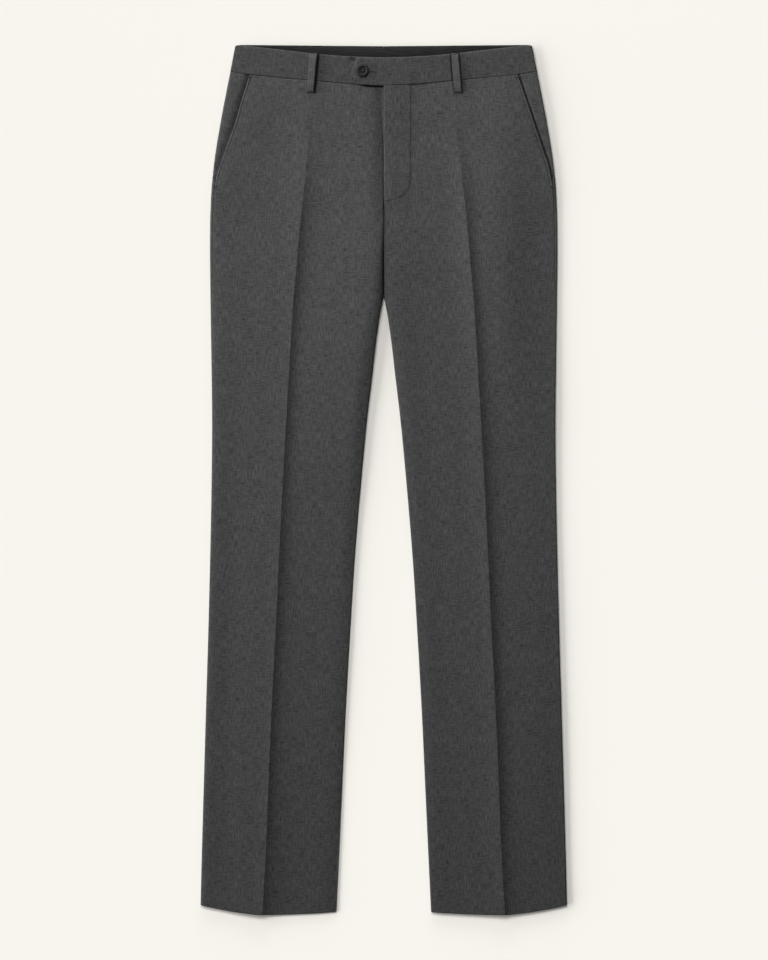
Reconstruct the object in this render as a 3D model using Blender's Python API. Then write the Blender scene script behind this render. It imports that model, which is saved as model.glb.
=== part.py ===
"""Flat-front dress trousers, pressed with a crease in each leg and laid flat, front side up.

Frame: metres, +Z up, the floor at z = 0. The waist is towards +Y, the hems towards -Y, and the
wearer's left is +X. The origin is on the floor, under the middle of the garment's box.

The garment is a flattened tube at the hips that parts into two flattened tubes at the crotch. A
section across a leg is one closed curve: flat underneath, rolled at its edges, and raised on top
along the pressed crease. Every panel is a stretch of that curve from one seam to the next, with
its wall on the inner side. The tables are in millimetres, a row for each section."""

import math

import bmesh
import bpy
import numpy as np

MM = 0.001

# ---------------------------------------------------------------- driving dimensions, millimetres
CLOTH = 1.1  # wall of a leg panel: worsted with its seam allowances
BAND = 1.4  # wall of the waistband: cloth, canvas and turnings
FACING = 1.0  # wall of the band's inside facing
SEAM = 0.3  # gap that stands for a sewn seam, or for two layers that lie together
ROLL = 1.7  # radius of the rolled edge along the side seam
CROTCH_Y = 239.0  # where the two legs part
RIDGE_FADE = 12.0  # how fast the crease's ridge falls away on each side
VALLEY_FADE = 8.0  # how fast the centre seam's valley, or the inner leg's roll, rises
SWELL_REACH = 70.0  # how far the fulness at the inner leg and fly reaches outwards

# The band and its layers, from the floor up
LOOP_LAYER = CLOTH + SEAM  # the back belt loops lie flat under the band and hold it up
BAND_TOP = LOOP_LAYER + 2 * BAND + FACING + 2 * SEAM
LAP = BAND + SEAM  # the left end of the band laps over the right end
LAP_FROM, LAP_TO = 12.0, 95.0  # over which the left end comes down to the band's level
UNDER_END = 8.0  # how far the right end of the band runs past the centre, under the left
RISE_FROM, RISE_TO = 430.0, 515.0  # over which the cloth rises from the floor to the band

# The fly and the slant pockets
FLY_FROM, FLY_FULL = 345.0, 372.0  # the fly's foot, where its left edge begins to lift
FLY_LIFT, FLY_LIFT_WAIST = 0.6, 1.2  # how far the left front stands over the right
FLY_WIDTH = 34.0
ZIP_WIDTH = 22.0
POCKET_UNDERLAP = 12.0  # how far the pocket facing runs in under the front
POCKET_LIFT = CLOTH + SEAM + 0.05
POCKET_SINK = 0.4  # the part of that step that the facing takes at the waist
SIDE_SEAM_IN = 1.3  # how far the side seam lies in from the rolled edge, above the knee

BUTTON_AT = (-26.8, 531.4)
BUTTON_RADIUS, BUTTON_THICK = 7.5, 2.6
LOOP_WIDTH, LOOP_THICK = 11.0, 1.3

# Half of the garment, from the waist to the hem: the outer edge, the inner edge and the crease,
# as distances from the middle, then the heights of the crease's ridge, of the fulness at the
# inner edge, and of the roll or valley that takes that fulness down at the seam.
COLUMNS = ("y", "outer", "inner", "crease", "ridge", "swell", "valley")
SECTIONS = np.array(
    (
        (565.0, 192.6, 0.0, 85.0, 0.0, 0.2, 0.2),
        (530.0, 199.3, 0.0, 88.3, 0.1, 0.4, 0.4),
        (505.0, 204.2, 0.0, 90.7, 0.3, 0.6, 0.6),
        (480.0, 209.1, 0.0, 93.1, 0.6, 1.2, 0.8),
        (455.0, 213.6, 0.0, 95.5, 0.9, 1.5, 0.9),
        (430.0, 217.8, 0.0, 98.1, 1.1, 1.6, 0.9),
        (404.0, 221.3, 0.0, 100.7, 1.4, 1.6, 0.9),
        (380.0, 223.5, 0.0, 103.1, 1.6, 1.6, 0.9),
        (350.0, 225.0, 0.0, 106.4, 1.8, 1.7, 1.0),
        (300.0, 225.7, 0.0, 111.1, 2.1, 1.9, 1.5),
        (265.0, 225.4, 0.0, 114.0, 2.2, 2.0, 2.0),
        (CROTCH_Y, 225.1, 0.0, 116.5, 2.2, 2.0, 2.2),
        (230.0, 225.0, 2.1, 117.3, 2.2, 2.0, 2.2),
        (208.0, 224.7, 6.0, 118.6, 2.2, 1.9, 2.1),
        (182.0, 224.3, 9.6, 120.2, 2.2, 1.8, 2.0),
        (140.0, 223.6, 14.4, 122.7, 2.3, 1.7, 1.9),
        (80.0, 223.0, 21.5, 126.2, 2.3, 1.6, 1.8),
        (0.0, 223.6, 29.1, 130.7, 2.3, 1.5, 1.7),
        (-100.0, 225.5, 37.4, 135.7, 2.3, 1.4, 1.6),
        (-200.0, 228.0, 43.7, 140.3, 2.3, 1.3, 1.5),
        (-300.0, 231.0, 49.3, 145.5, 2.3, 1.2, 1.4),
        (-400.0, 233.9, 53.9, 149.6, 2.3, 1.1, 1.3),
        (-480.0, 236.2, 57.6, 152.8, 2.3, 1.0, 1.2),
        (-565.0, 238.3, 61.6, 157.5, 2.3, 1.0, 1.2),
    )
)
# The band's edges and the waist seam, by distance from the middle.
WAIST_COLUMNS = ("x", "front_seam", "front_top", "back_seam", "back_top")
WAIST = np.array(
    (
        (0.0, 511.9, 548.6, 527.5, 563.5),
        (35.0, 513.4, 549.6, 527.6, 563.7),
        (62.0, 515.7, 551.4, 527.8, 563.9),
        (90.0, 518.4, 553.9, 528.0, 564.2),
        (118.0, 521.0, 557.2, 528.3, 564.5),
        (146.0, 523.7, 560.4, 528.7, 564.7),
        (172.0, 526.2, 563.2, 529.3, 565.0),
        (199.0, 530.0, 564.6, 530.0, 565.0),
    )
)
WAIST_Y, WAIST_FROM = 530.0, 430.0  # rows above WAIST_FROM bend gradually to the waist seam
HEM_Y, HEM_FROM = -565.0, -400.0  # and rows below HEM_FROM to the hem's own curve
HEM_CREASE, HEM_INNER, HEM_OUTER = 157.5, 61.6, 238.0
HEM_INNER_RISE, HEM_OUTER_RISE = 3.6, 12.6

# The slant pocket's edge on the front, from its foot in the side seam to the waist.
POCKET = np.array(((380.0, 221.3), (404.0, 216.3), (430.0, 207.0), (455.0, 198.4), (530.0, 173.0)))
POCKET_FOOT = 380.0
SEAM_DROP = (100.0, 200.0)  # below the upper of these the side seam slips round to the very edge


# ---------------------------------------------------------------- the section's curve
def smooth(low, high, value):
    """0 below low, 1 above high, and an S-curve between."""
    t = np.clip((value - low) / (high - low), 0.0, 1.0)
    return t * t * (3 - 2 * t)


def at(name, y):
    """A column of SECTIONS at the height y."""
    table = SECTIONS[::-1]
    return np.interp(y, table[:, 0], table[:, COLUMNS.index(name)])


def waist(name, x):
    """A column of WAIST at the distance x from the middle."""
    return np.interp(np.abs(x), WAIST[:, 0], WAIST[:, WAIST_COLUMNS.index(name)])


def hem(x):
    """The hem's line: lowest at the crease, with a long outer curve up to the side seam."""
    inner = np.clip((HEM_CREASE - x) / (HEM_CREASE - HEM_INNER), 0, 1)
    outer = np.clip((x - HEM_CREASE) / (HEM_OUTER - HEM_CREASE), 0, 1)
    return HEM_Y + HEM_INNER_RISE * inner**2 + HEM_OUTER_RISE * outer**1.5


def row_y(x, row, seam):
    """Where a row of the panel's grid lies at x: straight, but bent to the waist and the hem."""
    top = np.clip((row - WAIST_FROM) / (WAIST_Y - WAIST_FROM), 0, 1)
    foot = np.clip((HEM_FROM - row) / (HEM_FROM - HEM_Y), 0, 1)
    return row + (waist(seam, x) - SEAM - WAIST_Y) * top + (hem(x) - HEM_Y) * foot


def rise(y):
    """How far the cloth has come up from the floor towards the band, from 0 to 1."""
    return smooth(RISE_FROM, RISE_TO, y)


def under(y):
    """The height of the garment's underside."""
    return LOOP_LAYER * rise(y)


def pocket_edge(y):
    return np.interp(y, POCKET[:, 0], POCKET[:, 1])


def skin(x, y):
    """The height of the top surface before the fly and the pockets lift it."""
    middle = 1 - smooth(110.0, 165.0, x)
    height = under(y) + 2 * ROLL + 0.8 * rise(y) * middle
    height = height + at("swell", y) * np.exp(-(((x - at("inner", y)) / SWELL_REACH) ** 2))
    return height + at("ridge", y) * np.exp(-np.abs(x - at("crease", y)) / RIDGE_FADE)


def over_fly(y):
    """1 where the left front laps over the fly, 0 below its foot."""
    return smooth(FLY_FROM, FLY_FULL, y)


def front_lift(x, y, left):
    """How far the front panel stands over the skin: at the pocket, and at the fly's left edge."""
    edge = pocket_edge(y)
    step = POCKET_LIFT - POCKET_SINK * rise(y)
    lift = step * smooth(edge - 60.0, edge - POCKET_UNDERLAP - 2.0, x) * smooth(335.0, 378.0, y)
    if left:
        fly = FLY_LIFT + (FLY_LIFT_WAIST - FLY_LIFT) * rise(y)
        lift = lift + fly * over_fly(y) * (1 - smooth(30.0, 90.0, x))
    return lift


class Section:
    """One row across half of the garment. from_inner and from_outer give the curve's points by
    the distance walked along it from its inner or outer edge, up and over the top."""

    def __init__(self, row, seam, left=True):
        self.row, self.seam, self.left = row, seam, left
        y_in = row_y(at("inner", row), row, seam)
        y_out = row_y(at("outer", row), row, seam)
        self.outer, self.outer_z = at("outer", y_out), under(y_out) + ROLL
        self.parted = row <= CROTCH_Y
        self.slope = math.atan(at("valley", y_in) / VALLEY_FADE)
        self.start = at("inner", y_in) + SEAM / 2
        shoulder = skin(self.start, y_in) - at("valley", y_in)
        self.roll = shoulder / (1 + math.cos(self.slope))
        self.arc = self.roll * (math.pi / 2 - self.slope) if self.parted else 0.0
        self.top_from = self.start + (self.roll * (1 - math.sin(self.slope)) if self.parted else 0)
        self.gap = SEAM / 2 if self.parted else 0.0  # the half seam at the roll's middle

    def y(self, x):
        return row_y(x, self.row, self.seam)

    def top(self, x):
        y = self.y(x)
        valley = at("valley", y) * np.exp(-(x - self.top_from) / VALLEY_FADE)
        kept = 1 - over_fly(y) if self.left else 1.0
        return skin(x, y) - kept * valley + front_lift(x, y, self.left)

    def from_inner(self, walked):
        angle = walked / self.roll
        arc_x = self.start + self.roll * (1 - np.cos(angle))
        arc_z = self.roll * (1 + np.sin(angle))
        flat_x = self.top_from + walked - self.arc
        on_arc = self.parted & (walked < self.arc)
        return np.where(on_arc, arc_x, flat_x), np.where(on_arc, arc_z, self.top(flat_x))

    def under_inner(self, walked):
        """The same below the inner edge: round the roll and out along the floor."""
        angle = walked / self.roll
        flat_x = self.start + walked - (self.roll * (math.pi / 2 - 1) if self.parted else 0)
        on_arc = self.parted & (angle < math.pi / 2)
        x = np.where(on_arc, self.start + self.roll * (1 - np.cos(angle)), flat_x)
        return x, np.where(on_arc, self.roll * (1 - np.sin(angle)), under(self.y(flat_x)))

    def from_outer(self, walked):
        """From the outer edge's middle: up and in along the top, or down and in below 0."""
        quarter = ROLL * math.pi / 2
        angle = np.clip(walked, -quarter, quarter) / ROLL
        x = self.outer - ROLL + ROLL * np.cos(angle)
        z = self.outer_z + ROLL * np.sin(angle)
        flat_x = self.outer - ROLL - (np.abs(walked) - quarter)
        y = self.y(flat_x)
        lift = front_lift(flat_x, y, self.left) if self.seam == "front_seam" else 0.0
        flat_z = np.where(walked > 0, skin(flat_x, y) + lift, under(y))
        on_arc = np.abs(walked) <= quarter
        return np.where(on_arc, x, flat_x), np.where(on_arc, z, flat_z)

    def side_seam(self):
        """How far the side seam is from the outer edge, along the curve."""
        return (ROLL * math.pi / 2 + SIDE_SEAM_IN) * smooth(*SEAM_DROP, self.row)

    def front_edge(self):
        """The same for the front panel's outer edge, which is the pocket's edge higher up."""
        if self.row <= POCKET_FOOT:
            return self.side_seam()
        x = self.outer
        for _ in range(4):
            x = pocket_edge(self.y(x))
        return self.outer - ROLL - x + ROLL * math.pi / 2


def walled(curve, walked, section, wall, turn=1):
    """Points on a stretch of curve and, one wall inside it, the points of its inner side."""
    step = 0.02
    x, z = curve(walked)
    x0, z0 = curve(walked - step)
    x1, z1 = curve(walked + step)
    length = np.hypot(x1 - x0, z1 - z0)
    y = section.y(x)
    inner_x = x + turn * (z1 - z0) / length * wall
    inner_z = z - turn * (x1 - x0) / length * wall
    return np.stack((x, y, z), -1), np.stack((inner_x, y, inner_z), -1)


# ---------------------------------------------------------------- meshes
def material(name, colour, roughness, metallic=0.0):
    made = bpy.data.materials.new(name)
    made.use_nodes = True
    shader = made.node_tree.nodes["Principled BSDF"]
    shader.inputs["Base Color"].default_value = (*colour, 1.0)
    shader.inputs["Roughness"].default_value = roughness
    shader.inputs["Metallic"].default_value = metallic
    return made


def add_object(name, vertices, faces, finish):
    """A closed mesh, given in millimetres, as an object whose faces point out."""
    mesh = bpy.data.meshes.new(name)
    mesh.from_pydata([tuple(MM * value for value in vertex) for vertex in vertices], [], faces)
    shape = bmesh.new()
    shape.from_mesh(mesh)
    bmesh.ops.recalc_face_normals(shape, faces=shape.faces)
    bmesh.ops.triangulate(shape, faces=shape.faces)
    shape.to_mesh(mesh)
    shape.free()
    mesh.materials.append(finish)
    made = bpy.data.objects.new(name, mesh)
    bpy.context.scene.collection.objects.link(made)
    return made


def shell(name, outer, inner, finish, mirrored=False):
    """A wall between two grids of the same rows and columns, closed along its four edges."""
    outer, inner = np.asarray(outer, float), np.asarray(inner, float)
    rows, columns = outer.shape[:2]
    points = np.concatenate((outer.reshape(-1, 3), inner.reshape(-1, 3)))
    if mirrored:
        points = points * (-1, 1, 1)
    number = np.arange(rows * columns).reshape(rows, columns)
    back = number + rows * columns
    faces = []
    for grid in (number, back):
        corners = np.stack((grid[:-1, :-1], grid[1:, :-1], grid[1:, 1:], grid[:-1, 1:]), -1)
        faces += corners.reshape(-1, 4).tolist()
    rim = np.concatenate((number[0], number[1:, -1], number[-1, -2::-1], number[-2:0:-1, 0]))
    far = rim + rows * columns
    faces += np.stack((rim, np.roll(rim, -1), np.roll(far, -1), far), -1).tolist()
    return add_object(name, points, faces, finish)


# ---------------------------------------------------------------- the four leg panels
def panel_rows():
    return [row for row in SECTIONS[:, 0] if row <= WAIST_Y]


def front_panel(name, left, finish):
    """From the centre seam or inseam, over the crease, to the pocket's edge or side seam."""
    outer_rows, inner_rows = [], []
    for row in panel_rows():
        section = Section(row, "front_seam", left)
        crease = at("crease", row) - section.top_from + section.arc
        edge = section.front_edge()
        first = np.array((section.gap, 0.9, 1.8, 4.5, 10.0, 25.0))
        around = crease + np.array((-15.0, -5.0, 0.0, 5.0, 15.0))
        near = np.concatenate((first, [(25.0 + around[0]) / 2], around))
        one, one_inside = walled(section.from_inner, near, section, CLOTH)
        far_x = section.outer - ROLL + ROLL * math.pi / 2 - edge
        between = far_x - (one[-1, 0] + 2 * far_x) / 3
        last = edge + np.array((between, 12.0, 4.0, 2.2, 1.1, SEAM / 2))
        two, two_inside = walled(section.from_outer, last, section, CLOTH, turn=-1)
        outer_rows.append(np.concatenate((one, two)))
        inner_rows.append(np.concatenate((one_inside, two_inside)))
    return shell(name, outer_rows, inner_rows, finish, mirrored=not left)


def back_panel(name, left, finish):
    """From the centre seam or inseam, along the floor, and round the edge to the side seam."""
    outer_rows, inner_rows = [], []
    quarter = ROLL * math.pi / 2
    for row in panel_rows():
        section = Section(row, "back_seam", left)
        near = np.array((section.gap, 0.9, 1.8, 2.7, 10.0))
        one, one_inside = walled(section.under_inner, near, section, CLOTH, turn=-1)
        span = section.outer - one[-1, 0]
        flat = -quarter - np.array((0.66, 0.33, 0.03)) * span
        round_edge = np.linspace(-quarter, section.side_seam() - SEAM / 2, 6)
        last = np.concatenate((flat, round_edge))
        two, two_inside = walled(section.from_outer, last, section, CLOTH, turn=-1)
        outer_rows.append(np.concatenate((one, two)))
        inner_rows.append(np.concatenate((one_inside, two_inside)))
    return shell(name, outer_rows, inner_rows, finish, mirrored=not left)


def pocket_facing(name, left, finish):
    """The cloth that shows in the pocket's mouth, from under the front to the side seam."""
    foot = 392.0
    outer_rows, inner_rows = [], []
    for row in [row for row in panel_rows() if row > foot] + [foot]:
        section = Section(row, "front_seam", left)
        from_edge = section.front_edge() + POCKET_UNDERLAP
        walked = np.linspace(from_edge, section.side_seam() + SEAM / 2, 5)
        x, _ = section.from_outer(walked)
        y = section.y(x)
        z = skin(x, y) - POCKET_SINK * rise(y)
        outer_rows.append(np.stack((x, y, z), -1))
        inner_rows.append(np.stack((x, y, z - CLOTH), -1))
    return shell(name, outer_rows, inner_rows, finish, mirrored=not left)


# ---------------------------------------------------------------- inside the fly
def fly_layer(name, x_low, x_high, rows, level, wall, finish):
    """A flat strip inside the fly, level over the back panel, from x_low to x_high."""
    outer_rows = []
    for y in rows:
        z = under(y) + level
        outer_rows.append([(x, y, z + wall) for x in np.linspace(x_low, x_high, 3)])
    inner_rows = np.array(outer_rows) - (0, 0, wall)
    return shell(name, outer_rows, inner_rows, finish)


# ---------------------------------------------------------------- waistband
def band_z(x, left):
    """The band's top level, which the lapped left end stands above."""
    lap = LAP * (1 - smooth(LAP_FROM, LAP_TO, x)) if left else 0.0
    return BAND_TOP + lap + 0 * x


def waistband(name, left, finish):
    """From the centre front, round the side fold to the centre back, in rows up the band. The
    left one starts in a pointed tab that laps over the right one's end."""
    radius = (BAND_TOP - LOOP_LAYER) / 2
    tab = {0.0: (-35.4, 513.6), 0.4: (-42.4, 528.2), 1.0: (-32.8, 549.4)}
    front_x = np.array((0.0, 12.0, 35.0, 62.0, 90.0, 118.0, 146.0, 172.0))
    front_x = np.concatenate(((-26.0, -13.0) if left else (-UNDER_END,), front_x))
    back_x = np.array((172.0, 118.0, 62.0, SEAM / 2))
    angles = np.linspace(math.pi / 2, -math.pi / 2, 7)
    outer_rows, inner_rows = [], []
    for share, tip in tab.items():
        low = waist("front_seam", np.abs(front_x)) + SEAM / 2
        y = low + (waist("front_top", np.abs(front_x)) - low) * share
        front = np.stack((front_x, y, band_z(front_x, left)), -1)
        fold_y = WAIST_Y + (WAIST[-1, 2] - WAIST_Y) * share
        edge = at("outer", fold_y) - radius
        fold = [
            (edge + radius * math.cos(a), fold_y, LOOP_LAYER + radius * (1 + math.sin(a)))
            for a in angles
        ]
        low = waist("back_seam", back_x) + SEAM / 2
        y = low + (waist("back_top", back_x) - low) * share
        back = np.stack((back_x, y, 0 * back_x + LOOP_LAYER), -1)
        outer = np.concatenate((front, fold, back))
        wall_x = np.concatenate((0 * front_x, np.cos(angles), 0 * back_x))
        wall_z = np.concatenate((1 + 0 * front_x, np.sin(angles), -1 + 0 * back_x))
        if left:
            end = (*tip, band_z(tip[0], left))
            outer = np.concatenate(([end], outer))
            wall_x, wall_z = np.insert(wall_x, 0, 0.0), np.insert(wall_z, 0, 1.0)
        outer_rows.append(outer)
        inner_rows.append(outer - BAND * np.stack((wall_x, 0 * wall_x, wall_z), -1))
    return shell(name, outer_rows, inner_rows, finish, mirrored=not left)


def band_facing(name, left, finish):
    """The dark facing inside the back of the band, which shows over the front's top edge."""
    level = LOOP_LAYER + BAND + SEAM + FACING
    rows = []
    for share in (0.0, 0.5, 1.0):
        end = at("outer", 531.0 + 32.0 * share) - 3.6
        x = np.array((SEAM / 2, 60.0, 120.0, 165.0, end))
        y = 531.0 + (waist("back_top", x) - 2.0 - 531.0) * share
        rows.append(np.stack((x, y, 0 * x + level), -1))
    return shell(name, rows, np.array(rows) - (0, 0, FACING), finish, mirrored=not left)


# ---------------------------------------------------------------- belt loops
# A front loop from its head at the band's top edge to its folded foot below the waist seam: the
# height up the garment, and the room between it and the cloth under it.
LOOP_STATIONS = (
    (553.6, 0.3),
    (549.5, 0.3),
    (542.0, 1.3),
    (530.0, 1.8),
    (519.0, 1.5),
    (511.0, 1.2),
    (506.5, 0.5),
    (503.3, 0.3),
)


def front_cloth_z(x, y, left):
    """The height of the band or, below its seam, of the front panel."""
    if y > waist("front_seam", x) - 1.0:
        return band_z(x, left)
    return skin(x, y) + front_lift(x, y, left)


def front_loop(name, left, head_x, foot_x, finish):
    """A strip that stands a little off the band, sewn down at its head and foot."""
    outer_rows, inner_rows = [], []
    for y, room in LOOP_STATIONS:
        share = (LOOP_STATIONS[0][0] - y) / (LOOP_STATIONS[0][0] - LOOP_STATIONS[-1][0])
        middle = head_x + (foot_x - head_x) * share
        across = middle + LOOP_WIDTH / 2 * np.array((-1.0, 0.0, 1.0))
        sampled = np.linspace(across[0], across[-1], 9)
        z = max(front_cloth_z(x, y, left) for x in sampled) + room
        inner_rows.append([(x, y, z) for x in across])
        outer_rows.append([(x, y, z + LOOP_THICK) for x in across])
    return shell(name, outer_rows, inner_rows, finish, mirrored=not left)


def back_loop(name, x, finish):
    """A loop pressed flat between the band and the floor, its corners a little rounded."""
    top, foot, corner = 562.5, 518.0, 1.2
    half = LOOP_WIDTH / 2
    outer_rows = []
    for y, width in (
        (top, half - corner),
        (top - corner, half),
        (foot + corner, half),
        (foot, half - corner),
    ):
        outer_rows.append([(x + side * width, y, CLOTH) for side in (-1, 0, 1)])
    return shell(name, outer_rows, np.array(outer_rows) - (0, 0, CLOTH), finish)


# ---------------------------------------------------------------- button
# The button's turned profile, from the middle of its back to the middle of its dished face.
BUTTON_PROFILE = (
    (0.0, 0.0),
    (5.6, 0.0),
    (7.1, 0.6),
    (7.5, 1.5),
    (7.1, 2.4),
    (6.3, 2.6),
    (5.4, 2.3),
    (4.7, 1.7),
    (0.0, 1.5),
)
BUTTON_SIDES = 28
HOLE_OUT, HOLE_RADIUS = 1.6, 0.75


def button(name, finish):
    """A four-hole trouser button with a raised rim, just clear of the tab."""
    bottom = band_z(BUTTON_AT[0], True) + SEAM
    ring = 2 * math.pi * np.arange(BUTTON_SIDES) / BUTTON_SIDES
    points = [(0.0, 0.0, BUTTON_PROFILE[0][1])]
    for radius, height in BUTTON_PROFILE[1:-1]:
        points += [(radius * math.cos(a), radius * math.sin(a), height) for a in ring]
    points.append((0.0, 0.0, BUTTON_PROFILE[-1][1]))
    faces = []
    for side in range(BUTTON_SIDES):
        after = (side + 1) % BUTTON_SIDES
        faces.append((0, 1 + after, 1 + side))
        for turn in range(len(BUTTON_PROFILE) - 3):
            low, high = 1 + turn * BUTTON_SIDES, 1 + (turn + 1) * BUTTON_SIDES
            faces.append((low + side, low + after, high + after, high + side))
        last = 1 + (len(BUTTON_PROFILE) - 3) * BUTTON_SIDES
        faces.append((last + side, last + after, len(points) - 1))
    place = np.array((*BUTTON_AT, bottom))
    body = add_object(name, np.array(points) + place, faces, finish)
    for number, angle in enumerate(math.radians(45 + 90 * turn) for turn in range(4)):
        bpy.ops.mesh.primitive_cylinder_add(
            vertices=10,
            radius=HOLE_RADIUS * MM,
            depth=3 * BUTTON_THICK * MM,
            location=(
                (place[0] + HOLE_OUT * math.cos(angle)) * MM,
                (place[1] + HOLE_OUT * math.sin(angle)) * MM,
                (bottom + BUTTON_THICK / 2) * MM,
            ),
        )
        cutter = bpy.context.object
        cutter.name = f"{name}_hole_{number}"
        cutter.hide_render = True
        cutter.display_type = "WIRE"
        hole = body.modifiers.new(f"hole_{number}", "BOOLEAN")
        hole.operation = "DIFFERENCE"
        hole.object = cutter
    return body


# ---------------------------------------------------------------- the whole garment
def main():
    for old in list(bpy.data.objects):
        bpy.data.objects.remove(old)

    def wool(name):
        return material(f"{name}_worsted", (0.075, 0.075, 0.077), 0.9)

    for side, left in (("left", True), ("right", False)):
        front_panel(f"front_{side}", left, wool(f"front_{side}"))
        back_panel(f"back_{side}", left, wool(f"back_{side}"))
        name = f"pocket_facing_{side}"
        pocket_facing(name, left, wool(name))
        waistband(f"waistband_{side}", left, wool(f"waistband_{side}"))
        name = f"band_facing_{side}"
        band_facing(name, left, material(f"{name}_lining", (0.025, 0.025, 0.024), 0.6))
        head, foot = (91.9, 96.4) if left else (91.1, 94.3)
        name = f"belt_loop_front_{side}"
        front_loop(name, left, head, foot, wool(name))
    for place, x in (("left", 100.0), ("centre", 0.0), ("right", -100.0)):
        name = f"belt_loop_back_{place}"
        back_loop(name, x, wool(name))

    level = CLOTH + SEAM
    rows = (509.0, 480.0, 455.0, 430.0, 352.0)
    fly_layer("fly_underlap", -10.0, FLY_WIDTH, rows, level, CLOTH, wool("fly_underlap"))
    rows = (503.0, 480.0, 455.0, 430.0, 375.0)
    tape = material("fly_zip_tape", (0.02, 0.02, 0.02), 0.5)
    fly_layer("fly_zip", 1.0, ZIP_WIDTH, rows, level + CLOTH + SEAM, CLOTH, tape)
    button("waist_button", material("button_resin", (0.012, 0.012, 0.012), 0.25))


main()
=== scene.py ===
# %% [markdown]
# # Dress trousers, pressed and laid flat
# A pair of flat-front wool trousers lies on a pale table with the front side up. The garment is a
# flattened tube at the hips that parts into two flattened legs, and each leg is pressed to a
# sharp crease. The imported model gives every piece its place. This script makes the same pieces
# again as fine cloth, in the same frame and in the same millimetres.

# %% The fixed frame
import math

import bpy
import numpy as np
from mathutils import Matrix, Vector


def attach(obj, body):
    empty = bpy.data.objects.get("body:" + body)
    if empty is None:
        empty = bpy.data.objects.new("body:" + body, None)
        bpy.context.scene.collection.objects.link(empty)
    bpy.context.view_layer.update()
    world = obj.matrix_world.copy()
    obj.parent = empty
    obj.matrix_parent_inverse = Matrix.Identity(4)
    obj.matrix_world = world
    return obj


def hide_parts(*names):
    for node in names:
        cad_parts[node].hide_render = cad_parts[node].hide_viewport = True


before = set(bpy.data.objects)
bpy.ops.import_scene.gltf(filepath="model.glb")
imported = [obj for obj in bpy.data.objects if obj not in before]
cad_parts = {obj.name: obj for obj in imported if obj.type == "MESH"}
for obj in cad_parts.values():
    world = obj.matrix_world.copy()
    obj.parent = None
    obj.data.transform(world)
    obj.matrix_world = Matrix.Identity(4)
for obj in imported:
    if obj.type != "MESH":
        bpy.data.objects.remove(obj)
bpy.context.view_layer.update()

print("nodes:", ", ".join(sorted(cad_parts)))

# %% [markdown]
# ## The measures of the cut
# A tailor keeps a garment as a few measures at set heights. These tables do the same: a row for
# each height, with the distances from the middle to the side, to the inner leg and to the crease.
# The x axis is across, y runs from the hems up to the waist, and z is the height over the table.

# %% Measures, in millimetres
MM = 0.001
SIDES = {"left": 1, "right": -1}  # the wearer's sides, and the sign of x on each
SEAM = 0.3  # the gap between two pieces that are sewn together
PANEL_GAP = 0.12  # the gap that shows between two panels of one layer
CLOTH, BAND, FACING = 1.1, 1.4, 1.0  # the walls of a leg panel, the waistband and its facing
LOOP_LAYER = CLOTH + SEAM  # the back belt loops lie under the band and hold it up by this much
BAND_TOP = LOOP_LAYER + 2 * BAND + FACING + 2 * SEAM
WAIST_Y, HEM_Y = 530.0, -565.0

# The leg: height, then from the middle to the outer edge, to the inner edge and to the crease.
LEG = (
    (565, 192.6, 0.0, 85.0), (530, 199.3, 0.0, 88.3), (505, 204.2, 0.0, 90.7),
    (480, 209.1, 0.0, 93.1), (455, 213.6, 0.0, 95.5), (430, 217.8, 0.0, 98.1),
    (404, 221.3, 0.0, 100.7), (380, 223.5, 0.0, 103.1), (350, 225.0, 0.0, 106.4),
    (300, 225.7, 0.0, 111.1), (265, 225.4, 0.0, 114.0), (240, 225.1, 0.0, 116.4),
    (230, 225.0, 2.1, 117.3), (208, 224.7, 6.0, 118.6), (182, 224.3, 9.6, 120.2),
    (140, 223.6, 14.4, 122.7), (80, 223.0, 21.5, 126.2), (0, 223.6, 29.1, 130.7),
    (-100, 225.5, 37.4, 135.7), (-200, 228.0, 43.7, 140.3), (-300, 231.0, 49.3, 145.5),
    (-400, 233.9, 53.9, 149.6), (-480, 236.2, 57.6, 152.8), (-565, 238.3, 61.6, 157.5),
)
# The band: distance from the middle, then the heights of the front's waist seam and top edge, and
# of the back's.
WAIST = (
    (0, 511.9, 548.6, 527.5, 563.5), (35, 513.4, 549.6, 527.6, 563.7),
    (62, 515.7, 551.4, 527.8, 563.9), (90, 518.4, 553.9, 528.0, 564.2),
    (118, 521.0, 557.2, 528.3, 564.5), (146, 523.7, 560.4, 528.7, 564.7),
    (172, 526.2, 563.2, 529.3, 565.0), (199, 530.0, 564.6, 530.0, 565.0),
)
print(len(LEG), "heights of the leg,", len(WAIST), "places along the band")

# %% [markdown]
# ## Three kinds of line
# A straight line between two rows would show as a kink in the cloth, so a smooth curve goes
# through the rows instead. The rest of the garment is drawn with an S-shaped step from one value
# to another, and with a bell that fades away on both sides of a place.

# %% Curves, steps and bells
def through(places, values):
    """A smooth curve through given points. Between two points it is the cubic that leaves and
    arrives with the average slope of the points' neighbours."""
    order = np.argsort(places)
    place, value = np.asarray(places, float)[order], np.asarray(values, float)[order]
    slope = np.gradient(value, place)

    def curve(where):
        where = np.clip(where, place[0], place[-1])
        low = np.clip(np.searchsorted(place, where) - 1, 0, len(place) - 2)
        run = place[low + 1] - place[low]
        t = (where - place[low]) / run
        start = value[low] * (2 * t**3 - 3 * t**2 + 1) + slope[low] * run * (t**3 - 2 * t**2 + t)
        end = value[low + 1] * (3 * t**2 - 2 * t**3) + slope[low + 1] * run * (t**3 - t**2)
        return start + end

    return curve


def curves(table):
    """A smooth curve for each column of a table, against its first column."""
    places, *columns = np.transpose(table)
    return [through(places, column) for column in columns]


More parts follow.
